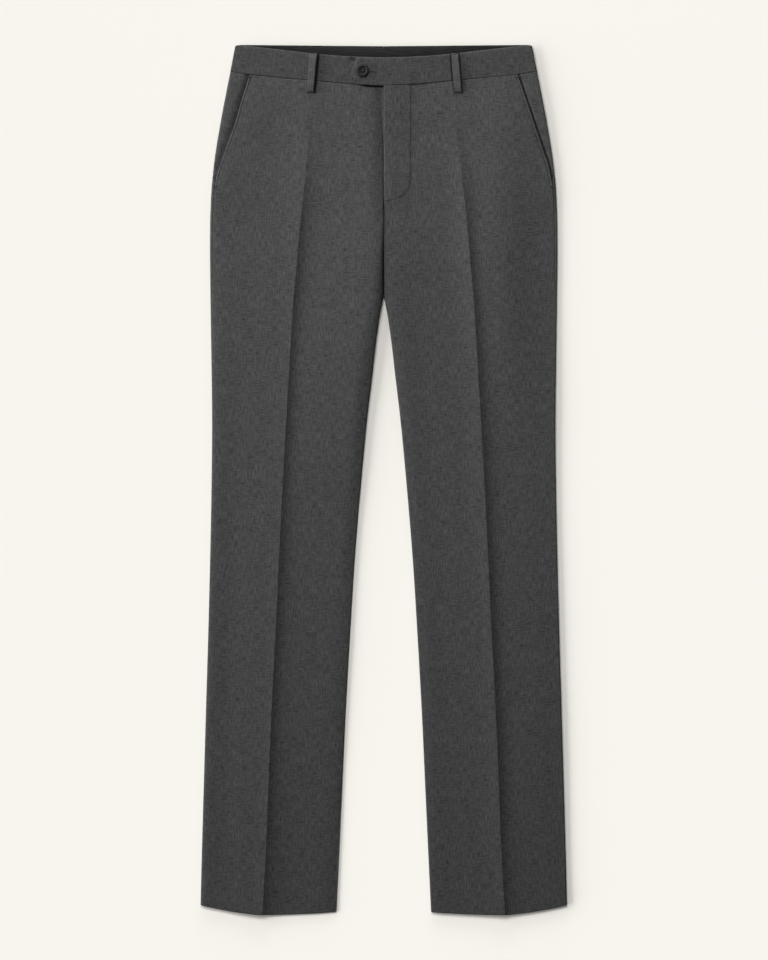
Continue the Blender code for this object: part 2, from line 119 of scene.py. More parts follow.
def by_side(table):
    """The curves of a table whose two columns are for the left and the right."""
    return dict(zip(SIDES.values(), curves(table)))


def smooth(low, high, value):
    """0 below low, 1 above high, and between them the S-curve t * t * (3 - 2t)."""
    t = np.clip((value - low) / (high - low), 0.0, 1.0)
    return t * t * (3 - 2 * t)


def bell(distance, reach, power=2):
    """exp(-(distance / reach) ** power): 1 at no distance, and fading on both sides."""
    return np.exp(-(np.abs(distance / reach) ** power))


outer, inner_leg, crease = curves(LEG)
front_seam, front_top, back_seam, back_top = curves(WAIST)


def inner(y):
    """From the middle to the inner edge, which is the middle seam above the crotch."""
    return np.maximum(inner_leg(y), 0.0)


print("hip", round(2 * outer(300.0), 1), "mm, hem", round(outer(HEM_Y) - inner(HEM_Y), 1), "mm")

# %% [markdown]
# ## How the cloth lies
# The garment's height over the table is only a few millimetres, but it makes nearly all of what
# the eye sees: the crease, the valley beside the fly, and the soft folds at the thigh. It is
# written as one sum of hills and valleys over x and y. A simulation could settle the cloth too,
# but pressed wool keeps the shape of the iron, and a formula puts each fold where it belongs.

# %% The underside and the outer edge
RISE = (430.0, 515.0)  # where the cloth rises from the table to the band
PARTING = (218.0, 243.0)  # where the two legs part
ROLL = 1.7  # radius of the rolled edge along the side seam
HIP_ROLL, HEM_ROLL = 2.4, 1.95  # the same at the hips and at the hem, where there are more layers


def rise(y):
    """How far the cloth has come up from the table towards the band, from 0 to 1."""
    return smooth(*RISE, y)


def under(y):
    """The height of the garment's underside."""
    return LOOP_LAYER * rise(y)


def parted(y):
    """0 above the crotch, 1 where the legs are apart."""
    return 1 - smooth(*PARTING, y)


def edge_radius(y):
    """The radius of the rolled outer edge: larger beside the pockets and at the felled hem."""
    at_hips = smooth(330.0, 400.0, y) * (1 - 0.4 * smooth(470.0, 525.0, y))
    at_hem = 1 - smooth(-560.0, -500.0, y)
    return ROLL + (HIP_ROLL - ROLL) * at_hips + (HEM_ROLL - ROLL) * at_hem


print("rolled edge:", [round(float(edge_radius(y)), 2) for y in (480.0, 100.0, HEM_Y)], "mm")

# %% [markdown]
# ## The pressed crease
# A pressed crease isn't a symmetrical ridge. The iron works from one side, so one flank leans
# away gently and the other drops off sharply. Both are bells of the distance from the crease.

# %% The crease
RIDGE = through(
    (530, 505, 480, 455, 430, 404, 380, 350, 300, 230, 100, 0, -200, -400, -565),
    (0.0, 0.2, 0.5, 1.1, 1.9, 2.9, 3.9, 4.9, 5.4, 5.2, 4.9, 4.7, 4.5, 4.1, 3.6),
)
# The gentle flank's reach and power, and by how much its reach shrinks below the knee.
GENTLE, GENTLE_SHRINK = {1: (16.0, 1.4), -1: (24.0, 1.0)}, {1: 0.0, -1: 7.0}
# The share of the crease's height by which its gentle side lies higher than its steep side, and
# how far from the edge of the leg the cloth has climbed it.
SHOULDER, SHOULDER_REACH = {1: 0.3, -1: 0.42}, 8.0
# The steep flank's reach, and what the hem and the hips add to it.
STEEP, STEEP_AT_HEM, STEEP_AT_HIPS = 5.4, 2.0, 4.0
# On its gentle side the cloth hangs a little between the crease and the edge: height, then how
# deep on the left and on the right. HOLLOW_AT and HOLLOW_WIDTH are shares of the way to the edge.
HOLLOW = by_side((
    (430, 0.0, 0.7), (300, 0.9, 0.7), (234, 1.6, 0.6), (100, 1.9, 0.9), (-50, 1.8, 1.5),
    (-220, 1.4, 1.5), (-400, 1.2, 1.2), (-565, 1.0, 1.0),
))
HOLLOW_AT, HOLLOW_WIDTH = 0.72, 0.28
# Beyond its steep side the cloth climbs again: height, then the climb on the left and the right.
LEE = by_side((
    (430, 0.0, 0.0), (350, 0.8, 1.0), (325, 1.5, 1.6), (273, 1.8, 2.5), (234, 2.0, 2.7),
    (169, 2.5, 3.1), (104, 2.1, 2.5), (26, 1.0, 2.0), (-52, 0.8, 0.7), (-130, 1.2, 0.4),
    (-221, 1.3, 0.3), (-312, 1.3, 0.0), (-416, 0.9, -0.7), (-520, 0.5, -1.2),
))
LEE_REACH = 23.0
THIGH = (60.0, 240.0)  # from one to the other the left leg's climb comes to end short of its edge


def lee(away, y, side):
    """The climb past the steep flank, LEE * (1 - bell). On the left it falls off again towards
    the outer edge, and the more so at the thigh."""
    climb = LEE[side](y) * (1 - bell(away, LEE_REACH))
    if side < 0:
        return climb
    thigh = smooth(*THIGH, y)
    start = 0.6 - 0.3 * thigh
    share = away / (outer(y) - crease(y))
    return climb * (1 - (0.4 + 0.6 * thigh) * smooth(0.0, 1.0, (share - start) / (1 - start)))


def pressed(across, y, side):
    """The crease. Towards -x it falls in a bell to a shoulder, which drops beside the edge of the
    leg, with a bell-shaped hollow on the way. Towards +x it falls as a bell with a power of 1,
    steeply and all the way, and then climbs to its lee."""
    away = side * (across - crease(y))
    edge = inner(y) if side > 0 else outer(y)
    shoulder = 1 - bell(across - edge, SHOULDER_REACH, 1)
    reach, power = GENTLE[side]
    reach = reach - GENTLE_SHRINK[side] * (1 - smooth(-320.0, -150.0, y))
    gentle = SHOULDER[side] * shoulder + (1 - SHOULDER[side]) * bell(away, reach, power)
    share = np.abs(away) / np.abs(crease(y) - edge)
    hollow = HOLLOW[side](y) * bell(share - HOLLOW_AT, HOLLOW_WIDTH) * shoulder
    reach = STEEP + STEEP_AT_HEM * (1 - smooth(-560.0, -300.0, y))
    reach = reach + STEEP_AT_HIPS * smooth(240.0, 400.0, y)
    steep = RIDGE(y) * bell(away, reach, 1) + lee(away, y, side)
    return np.where(away < 0, RIDGE(y) * gentle - hollow, steep)


print("crease stands", float(RIDGE(0.0)), "mm over the leg")

# %% [markdown]
# ## Fulness and soft folds
# Even pressed cloth has more length than the flat it lies on. It stands fuller along the inner
# leg, and on each side one long soft fold runs down from the waist. A fold is a bell of the
# distance from its line.

# %% The skin of a leg
# The fulness along the inner leg: height, then how much on the left and on the right.
SWELL = by_side((
    (530, 0.2, 0.2), (505, 0.4, 0.6), (480, 0.6, 1.0), (455, 1.0, 1.8), (430, 1.2, 2.7),
    (404, 1.4, 3.6), (377, 1.6, 4.5), (350, 2.2, 5.2), (325, 3.2, 5.6), (300, 4.0, 5.8),
    (273, 4.6, 5.8), (234, 4.6, 5.6), (169, 4.0, 5.0), (104, 3.0, 4.0), (26, 2.1, 2.8),
    (-52, 1.6, 1.9), (-221, 1.0, 0.9), (-416, 0.8, 0.3), (-565, 0.8, 0.1),
))
SWELL_REACH = 60.0
# Soft folds: the two ends (x, y), the width and the height, which is negative for a hollow.
FOLDS = (
    ((153.0, 640.0), (150.0, 30.0), 38.0, 4.5),
    ((-138.0, 600.0), (-140.0, 250.0), 24.0, -1.3),
)
# How much higher the cloth stands just inside the outer edge, how far in that reaches, and over
# what distance it falls off to the edge.
RIM, RIM_REACH, RIM_FALL = {1: 0.0, -1: 0.55}, 25.0, 2.6


def fold(x, y, start, end, width, height):
    """A soft fold: height times a bell of the distance from its line, fading to nothing at both
    ends as the square of a sine does, and flatter towards the waist."""
    run_x, run_y = end[0] - start[0], end[1] - start[1]
    length = math.hypot(run_x, run_y)
    along = ((x - start[0]) * run_x + (y - start[1]) * run_y) / length**2
    away = ((x - start[0]) * run_y - (y - start[1]) * run_x) / length
    ends = np.sin(math.pi * np.clip(along, 0, 1)) ** 2
    return height * ends * bell(away, width) * (1 - 0.6 * smooth(470.0, 515.0, y))


def skin(across, y, side):
    """The height of a leg's upper face before the fly and pockets lift it: the underside, two
    rolls, the crease, the fulness beside the inner leg, the folds and the rim. across is the
    distance from the middle, and side is 1 for the wearer's left and -1 for the right."""
    height = under(y) + 2 * edge_radius(y) + pressed(across, y, side)
    height = height + SWELL[side](y) * bell(across - inner(y), SWELL_REACH)
    for one in FOLDS:
        height = height + fold(side * across, y, *one)
    from_edge = outer(y) - across
    return height + RIM[side] * (bell(from_edge, RIM_REACH) - bell(from_edge, RIM_FALL))


print("thigh stands", round(float(skin(60.0, 200.0, 1)), 1), "mm over the table")

# %% [markdown]
# ## Over the fly and the pocket bags
# Hidden layers show as gentle steps: the pocket bag lifts the hip, and the fly's three layers
# lift the left front beside the middle seam, where its edge stands up over the right front.

# %% The height of a front
# The valley at the middle seam or inseam: height, then how deep on the left and on the right.
VALLEY = by_side((
    (530, 0.0, 1.8), (505, 0.0, 2.9), (480, 0.0, 3.4), (455, 0.0, 3.6), (430, 0.0, 3.6),
    (404, 0.0, 3.0), (377, 0.2, 2.2), (350, 0.3, 1.4), (325, 0.5, 0.8), (300, 0.8, 0.7),
    (273, 1.0, 1.0), (234, 1.2, 2.2), (169, 1.2, 3.2), (104, 1.3, 3.3), (26, 1.3, 2.7),
    (-52, 1.2, 2.0), (-221, 1.0, 1.2), (-416, 0.6, 1.1), (-565, 0.4, 1.1),
))
VALLEY_REACH = 10.0
CREVICE, CREVICE_REACH = 6.2, 2.0  # the right front's last dip into the middle seam
POCKET_STEP = {1: 0.7, -1: 1.2}  # the front's lift over the pocket bag
BAG_FROM, BAG_FULL = 60.0, 14.0  # how far in from the mouth that lift begins and is full
BAG_FOOT = (335.0, 378.0)  # the heights from where to where it grows
FLY_FROM, FLY_FULL = 345.0, 372.0  # the foot of the fly, where its edge begins to lift
FLY_LIFT, FLY_WIDTH = 1.8, 48.0  # how high the fly stands, and where it has sloped down
FLY_HEAD, HEAD_RISE = 2.2, (435.0, 485.0)  # how much higher it stands below the band, and where
LIP, LIP_WIDTH = 1.1, 14.0  # the left front's lip along the middle seam below the fly
pocket_edge = through((380, 404, 430, 455, 480, 505, 530),
                      (219.9, 215.4, 207.0, 198.4, 189.9, 181.4, 173.0))


def over_fly(y):
    """1 where the left front laps over the fly, 0 below its foot."""
    return smooth(FLY_FROM, FLY_FULL, y)


def seam_lip(y):
    """1 from a little above the crotch upwards, where the left front's edge at the middle seam
    stands up as a rounded lip."""
    return smooth(PARTING[1], 280.0, y)


def front_height(across, y, side):
    """The front's upper face: the skin, lifted in S-shaped steps over the pocket bag and, on the
    left, over the fly and the lip, less the bell-shaped valley that leads into the middle seam or
    the inseam."""
    edge, from_seam = pocket_edge(y), across - inner(y)
    step = POCKET_STEP[side] * (1 - 0.4 * rise(y))
    lift = step * smooth(edge - BAG_FROM, edge - BAG_FULL, across) * smooth(*BAG_FOOT, y)
    valley = VALLEY[side](y) * bell(from_seam, VALLEY_REACH)
    if side > 0:
        fly = FLY_LIFT * over_fly(y) + FLY_HEAD * smooth(*HEAD_RISE, y)
        lip = LIP * seam_lip(y) * (1 - over_fly(y))
        lift = lift + fly * (1 - smooth(-6.0, FLY_WIDTH, across))
        lift = lift + lip * (1 - smooth(-2.0, LIP_WIDTH, across))
    else:
        deep = (1 - 0.75 * smooth(280.0, 335.0, y)) * (1 - 0.85 * parted(y))
        valley = valley + CREVICE * deep * bell(from_seam, CREVICE_REACH, 1)
    return skin(across, y, side) + lift - valley


print("fly stands", round(float(front_height(5.0, 480.0, 1)), 1), "mm over the table")

# %% [markdown]
# ## From a grid of points to a wall of cloth
# Every panel is a surface of two parameters: one runs down the garment and one across it. A grid
# of points is worked out for both at once, and Blender's Solidify modifier then gives the sheet
# its thickness on the inner side and closes its rim. The grain of the cloth follows the panel, so
# the mesh carries its own map: the distance walked across the panel, and the height along it.

# %% Grids
FAR_OFF = 99.0  # a distance at which no edge is turned in


def surface(x, y, z):
    """A grid of points from three arrays that may each be a row, a column or a number."""
    return np.stack(np.broadcast_arrays(x, y, z), -1)


def spread(*parts):
    """Columns side by side, from arrays that have a row for each row of the panel."""
    rows = max(part.shape[0] for part in parts)
    return np.concatenate([np.broadcast_to(part, (rows, part.shape[1])) for part in parts], 1)


def between(start, end, count):
    """count evenly spaced columns between two columns, without the two."""
    share = np.arange(1, count + 1) / (count + 1)
    return start + (end - start) * share


def at_edges(near, across, far, middle=0.0):
    """near for a panel's first columns, far for its last ones, and middle for all between."""
    return spread(near, np.full_like(across[:, near.shape[1] : -far.shape[1]], middle), far)


def crowded(edge, low, high, count):
    """A column of shares from 0 to 1, close together at both ends as edge says, and evenly
    spaced from low to high."""
    edge = np.array(edge)
    return np.concatenate((edge, np.linspace(low, high, count), 1 - edge[::-1]))[:, None]


def turned_in(distance, radius=0.9, drop=0.5):
    """How deep a turned edge dips at a distance from its seam: a quarter of a circle."""
    near = 1 - np.clip(distance / radius, 0, 1)
    return drop * (1 - np.sqrt(1 - near**2))


def roll(walked, radius, angle):
    """Walking over a rounded edge that starts at a slope of angle and turns level: the distance
    gone across and up. Both are stretches of a circle of the radius, then a level line."""
    turned = np.clip(walked / radius, 0, angle)
    across = radius * (np.sin(angle) - np.sin(angle - turned))
    up = radius * (np.cos(angle - turned) - np.cos(angle))
    return across + np.maximum(walked - radius * angle, 0), up


def unit(vectors):
    """The vectors, each divided by its length."""
    return vectors / np.linalg.norm(vectors, axis=-1, keepdims=True)


def normals(grid):
    """The unit normal at each point of a grid: the cross product of its two directions."""
    return unit(np.cross(np.gradient(grid, axis=0), np.gradient(grid, axis=1)))


def sink(grid, depth, facing):
    """Moves each point inwards by depth, against the normal that has the sign of facing in z."""
    normal = normals(grid)
    if (normal[..., 2].mean() > 0) != (facing > 0):
        normal = -normal
    return grid - normal * depth[..., None]


# %% [markdown]
# ## The meshes
# Each quad joins four neighbours of the grid. Its corners are listed so that its face points
# outwards, which Solidify needs to know on which side the wall goes.

# %% Meshes
def link(made):
    """Puts an object into the scene."""
    bpy.context.scene.collection.objects.link(made)
    return made


def add_mesh(name, points, faces, finish):
    """A mesh object, smooth shaded, from points in millimetres and lists of corners."""
    mesh = bpy.data.meshes.new(name)
    mesh.from_pydata((np.asarray(points) * MM).tolist(), [], faces)
    mesh.polygons.foreach_set("use_smooth", np.ones(len(mesh.polygons), bool))
    mesh.materials.append(finish)
    return link(bpy.data.objects.new(name, mesh))


def cloth(name, grid, wall, finish, facing=1, shift=0.0, painted_shade=None):
    """A wall of cloth under a grid of points whose normals point to facing, 1 for up. The map
    "cloth" holds the walked distance across and the height along, in metres, moved by shift so
    that no two panels have their streaks in line. The last argument becomes an attribute of painted
    shade: 1 where the colour is to be darkened as shade in a crevice, a tight seam or beside a
    raised edge, and 0 elsewhere."""
    rows, columns = grid.shape[:2]
    number = np.arange(rows * columns).reshape(rows, columns)
    corners = (number[:-1, :-1], number[1:, :-1], number[1:, 1:], number[:-1, 1:])
    quads = np.stack(corners, -1).reshape(-1, 4)
    if (normals(grid)[..., 2].mean() > 0) != (facing > 0):
        quads = quads[:, ::-1]
    made = add_mesh(name, grid.reshape(-1, 3), quads.tolist(), finish)
    towards = np.sign(grid[0, columns // 4, 0] - grid[0, 0, 0])
    steps = np.linalg.norm(np.diff(grid, axis=1), axis=-1) * towards
    walked = np.concatenate((np.zeros((rows, 1)), np.cumsum(steps, axis=1)), 1)
    middle = slice(columns // 2, columns // 2 + 1)
    walked = walked - walked[:, middle] + grid[:, middle, 0]
    flat = np.stack((walked + shift, grid[..., 1] + 0.7 * shift), -1).reshape(-1, 2) * MM
    layer = made.data.uv_layers.new(name="cloth")
    layer.data.foreach_set("uv", flat[quads.reshape(-1)].ravel())
    if painted_shade is not None:
        share = made.data.attributes.new("painted_shade", "FLOAT", "POINT")
        share.data.foreach_set("value", np.clip(painted_shade, 0, 1).ravel())
    solid = made.modifiers.new("wall", "SOLIDIFY")
    solid.thickness, solid.offset = wall * MM, -1.0
    down, over = np.diff(grid, axis=0)[:, :-1], np.diff(grid, axis=1)[:-1]
    area = np.linalg.norm(np.cross(down, over), axis=-1).sum()
    print(f"{name}: {len(quads)} quads, {area / 1e6:.4f} m2")
    return made


def both(make):
    """The left and the right one of a piece, by name."""
    return {name: make(name, side) for name, side in SIDES.items()}


# %% [markdown]
# ## Wool worsted
# The cloth is a fine twill in mixed greys. From a step away the eye sees short streaks along and
# across the leg, where a yarn is a little thicker or lighter, and up close it sees the diagonal
# of the twill. The streaks are two stretched noises. The twill is worked out thread by thread:
# the cloth shows a warp thread where the sum of the two thread numbers, counted round in fours,
# is below two, and a weft thread elsewhere.

# %% Shader arithmetic
class Signal:
    """A value on its way through a material. Arithmetic on it adds Math nodes."""

    def __init__(self, nodes, socket):
        self.nodes, self.socket = nodes, socket

    def math(self, operation, *others):
        """The operation on this value and, after it, the others."""
        return self.nodes.math(operation, self, *others)

    def __add__(self, other):
        return self.math("ADD", other)

    __radd__ = __add__

    def __sub__(self, other):
        return self.math("SUBTRACT", other)

    def __rsub__(self, other):
        return self.nodes.math("SUBTRACT", other, self)

    def __mul__(self, other):
        return self.math("MULTIPLY", other)

    __rmul__ = __mul__


class Nodes:
    """The nodes of a material or of the world, with one method for adding a node to them."""

    def __init__(self, owner):
        owner.use_nodes = True
        self.all, self.links = owner.node_tree.nodes, owner.node_tree.links

    def feed(self, socket, value):
        """Links a signal to a socket, or sets a plain value on it."""
        if isinstance(value, Signal):
            self.links.new(value.socket, socket)
        else:
            socket.default_value = value

    def node(self, kind, settings, sockets, output=0):
        """A new node with its settings and then its sockets, and the signal of one output."""
        made = self.all.new(kind)
        for name, value in settings.items():
            setattr(made, name, value)
        for key, value in sockets.items():
            self.feed(made.inputs[key], value)
        return Signal(self, made.outputs[output])

    def math(self, operation, *values):
        """A Math node, with its values in their order."""
        return self.node("ShaderNodeMath", {"operation": operation}, dict(enumerate(values)))


# %% [markdown]
# ## What finishes have in common
# Each finish needs a place to read its pattern from, a stretched noise, a blend of two colours
# and a bump. Cloth reads its own map, so that the grain follows the panel round a fold. Threads
# and the button are solid, so they read the place in the frame.

# %% A finish
class Finish(Nodes):
    """A material, with the places, noises and blends that its patterns are made of."""

    def __init__(self, name):
        self.material = bpy.data.materials.new(name)
        super().__init__(self.material)
        self.shader = self.all["Principled BSDF"]

    def set(self, **values):
        """Feeds the shader's sockets, and gives back the finished material."""
        for name, value in values.items():
            self.feed(self.shader.inputs[name.replace("_", " ")], value)
        return self.material

    def object_place(self):
        """The place in the frame, in metres."""
        return self.node("ShaderNodeTexCoord", {}, {}, 3)

    def cloth_place(self):
        """The piece's own cloth map, in millimetres."""
        flat = self.node("ShaderNodeUVMap", {"uv_map": "cloth"}, {})
        return self.node("ShaderNodeVectorMath", {"operation": "SCALE"}, {0: flat, "Scale": 1 / MM})

    def x_and_y(self, place):
        """The first two numbers of a place."""
        return [self.node("ShaderNodeSeparateXYZ", {}, {0: place}, axis) for axis in (0, 1)]

    def painted_shade(self):
        """The attribute of painted shade: 1 where the colour is to be darkened as shade."""
        return self.node("ShaderNodeAttribute", {"attribute_name": "painted_shade"}, {}, 2)

    def streaks(self, place, scale, detail=2.0, rough=0.6):
        """Noise of about half, stretched by a scale for each direction."""
        stretched = self.node("ShaderNodeMapping", {}, {"Vector": place, "Scale": (*scale, 1.0)})
        sockets = {"Vector": stretched, "Scale": 1.0, "Detail": detail, "Roughness": rough}
        return self.node("ShaderNodeTexNoise", {}, sockets)

    def blend(self, share, low, high):
        """A colour between two, by share."""
        settings = {"data_type": "RGBA", "clamp_factor": True}
        return self.node("ShaderNodeMix", settings, {0: share, 6: (*low, 1.0), 7: (*high, 1.0)}, 2)

    def bump(self, height, strength, distance):
        """The normal of a surface with this height on it; distance is in metres."""
        sockets = {"Height": height, "Strength": strength, "Distance": distance}
        return self.node("ShaderNodeBump", {}, sockets)

    def twill(self, place, pitch):
        """The height of a twill's threads, each round as half a sine wave, and 1 where the warp
        thread is on top."""
        warp, weft = [axis * (1 / pitch) for axis in self.x_and_y(place)]
        count = warp.math("FLOOR") + weft.math("FLOOR")
        on_top = count.math("FLOORED_MODULO", 4.0).math("LESS_THAN", 1.5)
        rounds = [(thread.math("FRACT") * math.pi).math("SINE") for thread in (warp, weft)]
        return on_top * rounds[0] + (1 - on_top) * rounds[1], on_top


# %% [markdown]
# ## The wool's finish
# A patchy noise decides where the streaks along the leg win over the streaks across it. Where the
# mesh carries painted shade, the colour is darkened to nearly black.

# %% Wool finish
THREAD = 0.42  # pitch of the twill's threads, in millimetres
ALONG, ACROSS, PATCH = (0.6, 0.1), (0.12, 0.62), (0.06, 0.04)  # how fine the three noises are


def worsted(name, tone=0.0328, contrast=2.6):
    """Grey worsted: streaks along and across in patches, a twill, a soft nap, and painted shade."""
    wool = Finish(name)
    place = wool.cloth_place()
    along, across = wool.streaks(place, ALONG), wool.streaks(place, ACROSS)
    patch = wool.streaks(place, PATCH, 1.0)
    height, on_top = wool.twill(place, THREAD)
    lean = (patch - 0.5) * 1.4 + 0.54
    streak = along * lean + across * (1 - lean) - 0.5
    shade = streak * contrast + (patch - 0.5) * 0.25 + (height - 0.64) * 0.16 + (on_top - 0.5) * 0.1
    # painted shade: the colour goes down to 7 % of itself where the attribute is 1
    shade = (0.5 + shade * 0.55) * (1 - wool.painted_shade() * 0.93)
    low, high = 0.0, 2 * tone
    return wool.set(
        Base_Color=wool.blend(shade, (low, low, low), (high, high, 1.012 * high)),
        Roughness=0.95 - height * 0.1,
        Specular_IOR_Level=0.1,
        Normal=wool.bump(streak * 1.2 + height * 0.25, 0.35, 0.00025),
    )


cloths = {name: worsted(f"worsted_{name}") for name in SIDES}
band_cloths = {name: worsted(f"band_worsted_{name}", 0.0278, 2.7) for name in SIDES}
loop_finish = worsted("loop_worsted", 0.0335)
print("worsted made,", len(cloths["left"].node_tree.nodes), "nodes")

# %% [markdown]
# ## The lining inside the band, thread, zip tape and button
# The band's facing is a dark satin whose threads run along the band. Thread is close to black,
# with fine slanting ridges. The button is dark resin: its dish is matt and the rim round it
# polished, so the polish starts at a distance from the button's middle.

# %% Other finishes
BUTTON_AT = (-27.3, 530.8)
POLISHED = (0.0051, 0.0066)  # how far from the button's middle its polish begins and ends, in m


def facing_finish():
    """Dark lining: long streaks along the band and a fine rib, and painted shade that darkens it to
    black.
    """
    satin = Finish("band_facing_lining")
    place = satin.cloth_place()
    long = satin.streaks(place, (0.06, 0.7))
    height, _ = satin.twill(place, 0.3)
    # painted shade: the lining goes to black where the attribute is 1
    shade = (0.5 + (long - 0.5) * 1.6 + (height - 0.64) * 0.2) * (1 - satin.painted_shade())
    return satin.set(
        Base_Color=satin.blend(shade, (0.001, 0.001, 0.001), (0.0185, 0.0185, 0.018)),
        Roughness=0.85 - height * 0.1,
        Specular_IOR_Level=0.1,
        Normal=satin.bump(long * 0.8 + height * 0.3, 0.3, 0.0002),
    )


def thread_finish(name, tone, pitch=0.5):
    """Twisted thread: slanting waves of tone and height."""
    thread = Finish(name)
    sockets = {"Vector": thread.object_place(), "Scale": 1 / (6 * pitch * MM), "Distortion": 0.5}
    twist = thread.node("ShaderNodeTexWave", {"bands_direction": "DIAGONAL"}, sockets, 1)
    return thread.set(
        Base_Color=thread.blend(twist, (0.6 * tone,) * 3, (1.4 * tone,) * 3),
        Roughness=0.75 - twist * 0.2,
        Specular_IOR_Level=0.3,
        Normal=thread.bump(twist, 0.4, 0.0001),
    )


def button_finish():
    """Dark resin with a faint cloudy figure, and a coat of polish in a ring."""
    resin = Finish("button_resin")
    place = resin.object_place()
    sockets = {"Vector": place, "Scale": 300.0, "Detail": 4.0, "Distortion": 1.0}
    cloud = resin.node("ShaderNodeTexNoise", {}, sockets)
    ends = {0: place, 1: (BUTTON_AT[0] * MM, BUTTON_AT[1] * MM, 0.0085)}
    from_centre = resin.node("ShaderNodeVectorMath", {"operation": "DISTANCE"}, ends, 1)
    rim = from_centre.math("GREATER_THAN", POLISHED[0]) * from_centre.math("LESS_THAN", POLISHED[1])
    return resin.set(
        Base_Color=resin.blend(cloud, (0.002, 0.002, 0.002), (0.0095, 0.0093, 0.009)),
        Roughness=0.6 + cloud * 0.2,
        Specular_IOR_Level=0.1,
        Coat_Weight=rim * 0.15,
        Coat_Roughness=0.14,
        Normal=resin.bump(cloud, 0.1, 0.0001),
    )


lining, resin = facing_finish(), button_finish()
tape, button_cord = thread_finish("zip_tape", 0.02), thread_finish("button_cord", 0.022)
stitch_thread = thread_finish("stitch_thread", 0.007)
print(len(bpy.data.materials), "materials in all")

# %% [markdown]
# ## Rows across the garment
# Every panel's rows are straight across the leg, but near the waist and the hem they bend, bit by
# bit, to follow the cut there. The hem is cut with a slight curve, as on real trousers.

# %% Rows
WAIST_FROM, HEM_FROM = 430.0, -400.0  # past these rows the cloth bends to the waist and the hem
HEM_CREASE, HEM_INNER, HEM_OUTER = 157.5, 61.6, 238.0  # x of the hem's lowest point and its ends
INNER_RISE, OUTER_RISE = 3.6, 12.6  # how much higher the hem is at its ends
CLOSE_ROWS = np.array((0.0, 0.25, 0.6, 1.1, 1.7, 2.6))  # from each end of a panel


def waist_gap(across):
    """The gap at the waist seam, which closes towards the side."""
    return SEAM * (1 - 0.85 * smooth(165.0, 197.0, across))


def hem(across):
    """The hem is lowest at the crease. It rises to the inseam as the square of the way there, and
    to the side seam as its power of 1.5."""
    towards_inner = np.clip((HEM_CREASE - across) / (HEM_CREASE - HEM_INNER), 0, 1)
    towards_outer = np.clip((across - HEM_CREASE) / (HEM_OUTER - HEM_CREASE), 0, 1)
    return HEM_Y + INNER_RISE * towards_inner**2 + OUTER_RISE * towards_outer**1.5


def row_y(across, row, seam):
    """Where a row lies at a distance from the middle: straight, but bent to the waist and hem."""
    top = np.clip((row - WAIST_FROM) / (WAIST_Y - WAIST_FROM), 0, 1)
    foot = np.clip((HEM_FROM - row) / (HEM_FROM - HEM_Y), 0, 1)
    return row + (seam(across) - waist_gap(across) - WAIST_Y) * top + (hem(across) - HEM_Y) * foot


def panel_rows(top=WAIST_Y, foot=HEM_Y, step=4.0, fine=()):
    """Heights from the top to the foot, with a few close rows at both ends for the turned edges
    and, where fine gives a stretch, rows 1.2 mm apart."""
    middle = np.linspace(top - 4.0, foot + 4.0, int((top - foot - 4.0) / step))
    if fine:
        outside = middle[(middle > fine[0] + step / 2) | (middle < fine[1] - step / 2)]
        middle = np.sort(np.concatenate((outside, np.arange(fine[1], fine[0], 1.2))))[::-1]
    return np.concatenate((top - CLOSE_ROWS, middle, foot + CLOSE_ROWS[::-1]))[:, None]


print("a panel has", panel_rows().size, "rows")

# %% [markdown]
# ## The edges of a panel
# A panel's outer edge rolls round to the side seam, or stops at the pocket's mouth. Its inner edge
# rolls down at the middle seam or the inseam. The walk over a rolled edge is an arc of a circle,
# and the rows keep their place along it.

# %% Edges
POCKET_FOOT, FACING_FOOT = 380.0, 388.0
SIDE_SEAM_IN = 1.8  # how far the side seam lies in from the rolled edge
SEAM_DROP = (195.0, 285.0)  # between these heights the side seam slips round to the very edge
SEAM_TOP = (386.0, 402.0)  # and here again, beside the pocket
POCKET_BOW = through((380, 390, 402, 415, 440, 470, 485, 500, 520),
                     (0.0, 0.2, 1.2, 1.9, 2.2, 2.4, 1.3, 0.8, 0.5))
NEAR_EDGE = np.array((0.0, 0.25, 0.5, 0.8, 1.15, 1.6, 2.1, 2.6, 3.1, 3.6, 4.4, 5.5))[None]


def outer_edge(rows, seam):
    """How far from the middle the outer edge is, for each row."""
    return outer(row_y(outer(rows), rows, seam))


def side_seam(row):
    """How far the side seam is from the middle of the outer roll, walked over the cloth."""
    shows = smooth(*SEAM_DROP, row) * (1 - smooth(*SEAM_TOP, row))
    return (edge_radius(row) * math.pi / 2 + SIDE_SEAM_IN) * shows


def mouth(y, side):
    """The pocket's edge. The right one is bowed in a little."""
    return pocket_edge(y) - (POCKET_BOW(y) if side < 0 else 0.0)


def front_edge(row, edge_x, side):
    """The same distance for a front's outer edge, which above the pocket's foot is the pocket's
    edge. The rows bend, so where one meets that edge is found in four rounds."""
    x = edge_x
    for _ in range(4):
        x = mouth(row_y(x, row, front_seam), side)
    radius = edge_radius(row)
    to_mouth = edge_x - radius - x + radius * math.pi / 2
    return np.where(row > POCKET_FOOT, to_mouth, side_seam(row))


def inner_roll(row, seam, side):
    """The rounded edge at the middle seam or inseam: where it starts, its radius, and the slope
    at which the front's cloth starts up it."""
    y = row_y(inner(row), row, seam)
    start = inner(y) + PANEL_GAP / 2
    apart, lip = parted(y), seam_lip(y)
    seam_radius, seam_slope = (0.5 + 0.6 * lip, 0.5 + 0.5 * lip) if side > 0 else (0.6, 0.5)
    radius = apart * front_height(start, y, side) / 2 + (1 - apart) * seam_radius
    return start, radius, math.pi / 2 * (apart + (1 - apart) * seam_slope)


def near_columns(start, radius, slope):
    """The columns beside the inner edge, and how far each is off the level of the panel."""
    gone, up = roll(NEAR_EDGE, radius, slope)
    return start + gone, radius * (1 - np.cos(slope)) - up


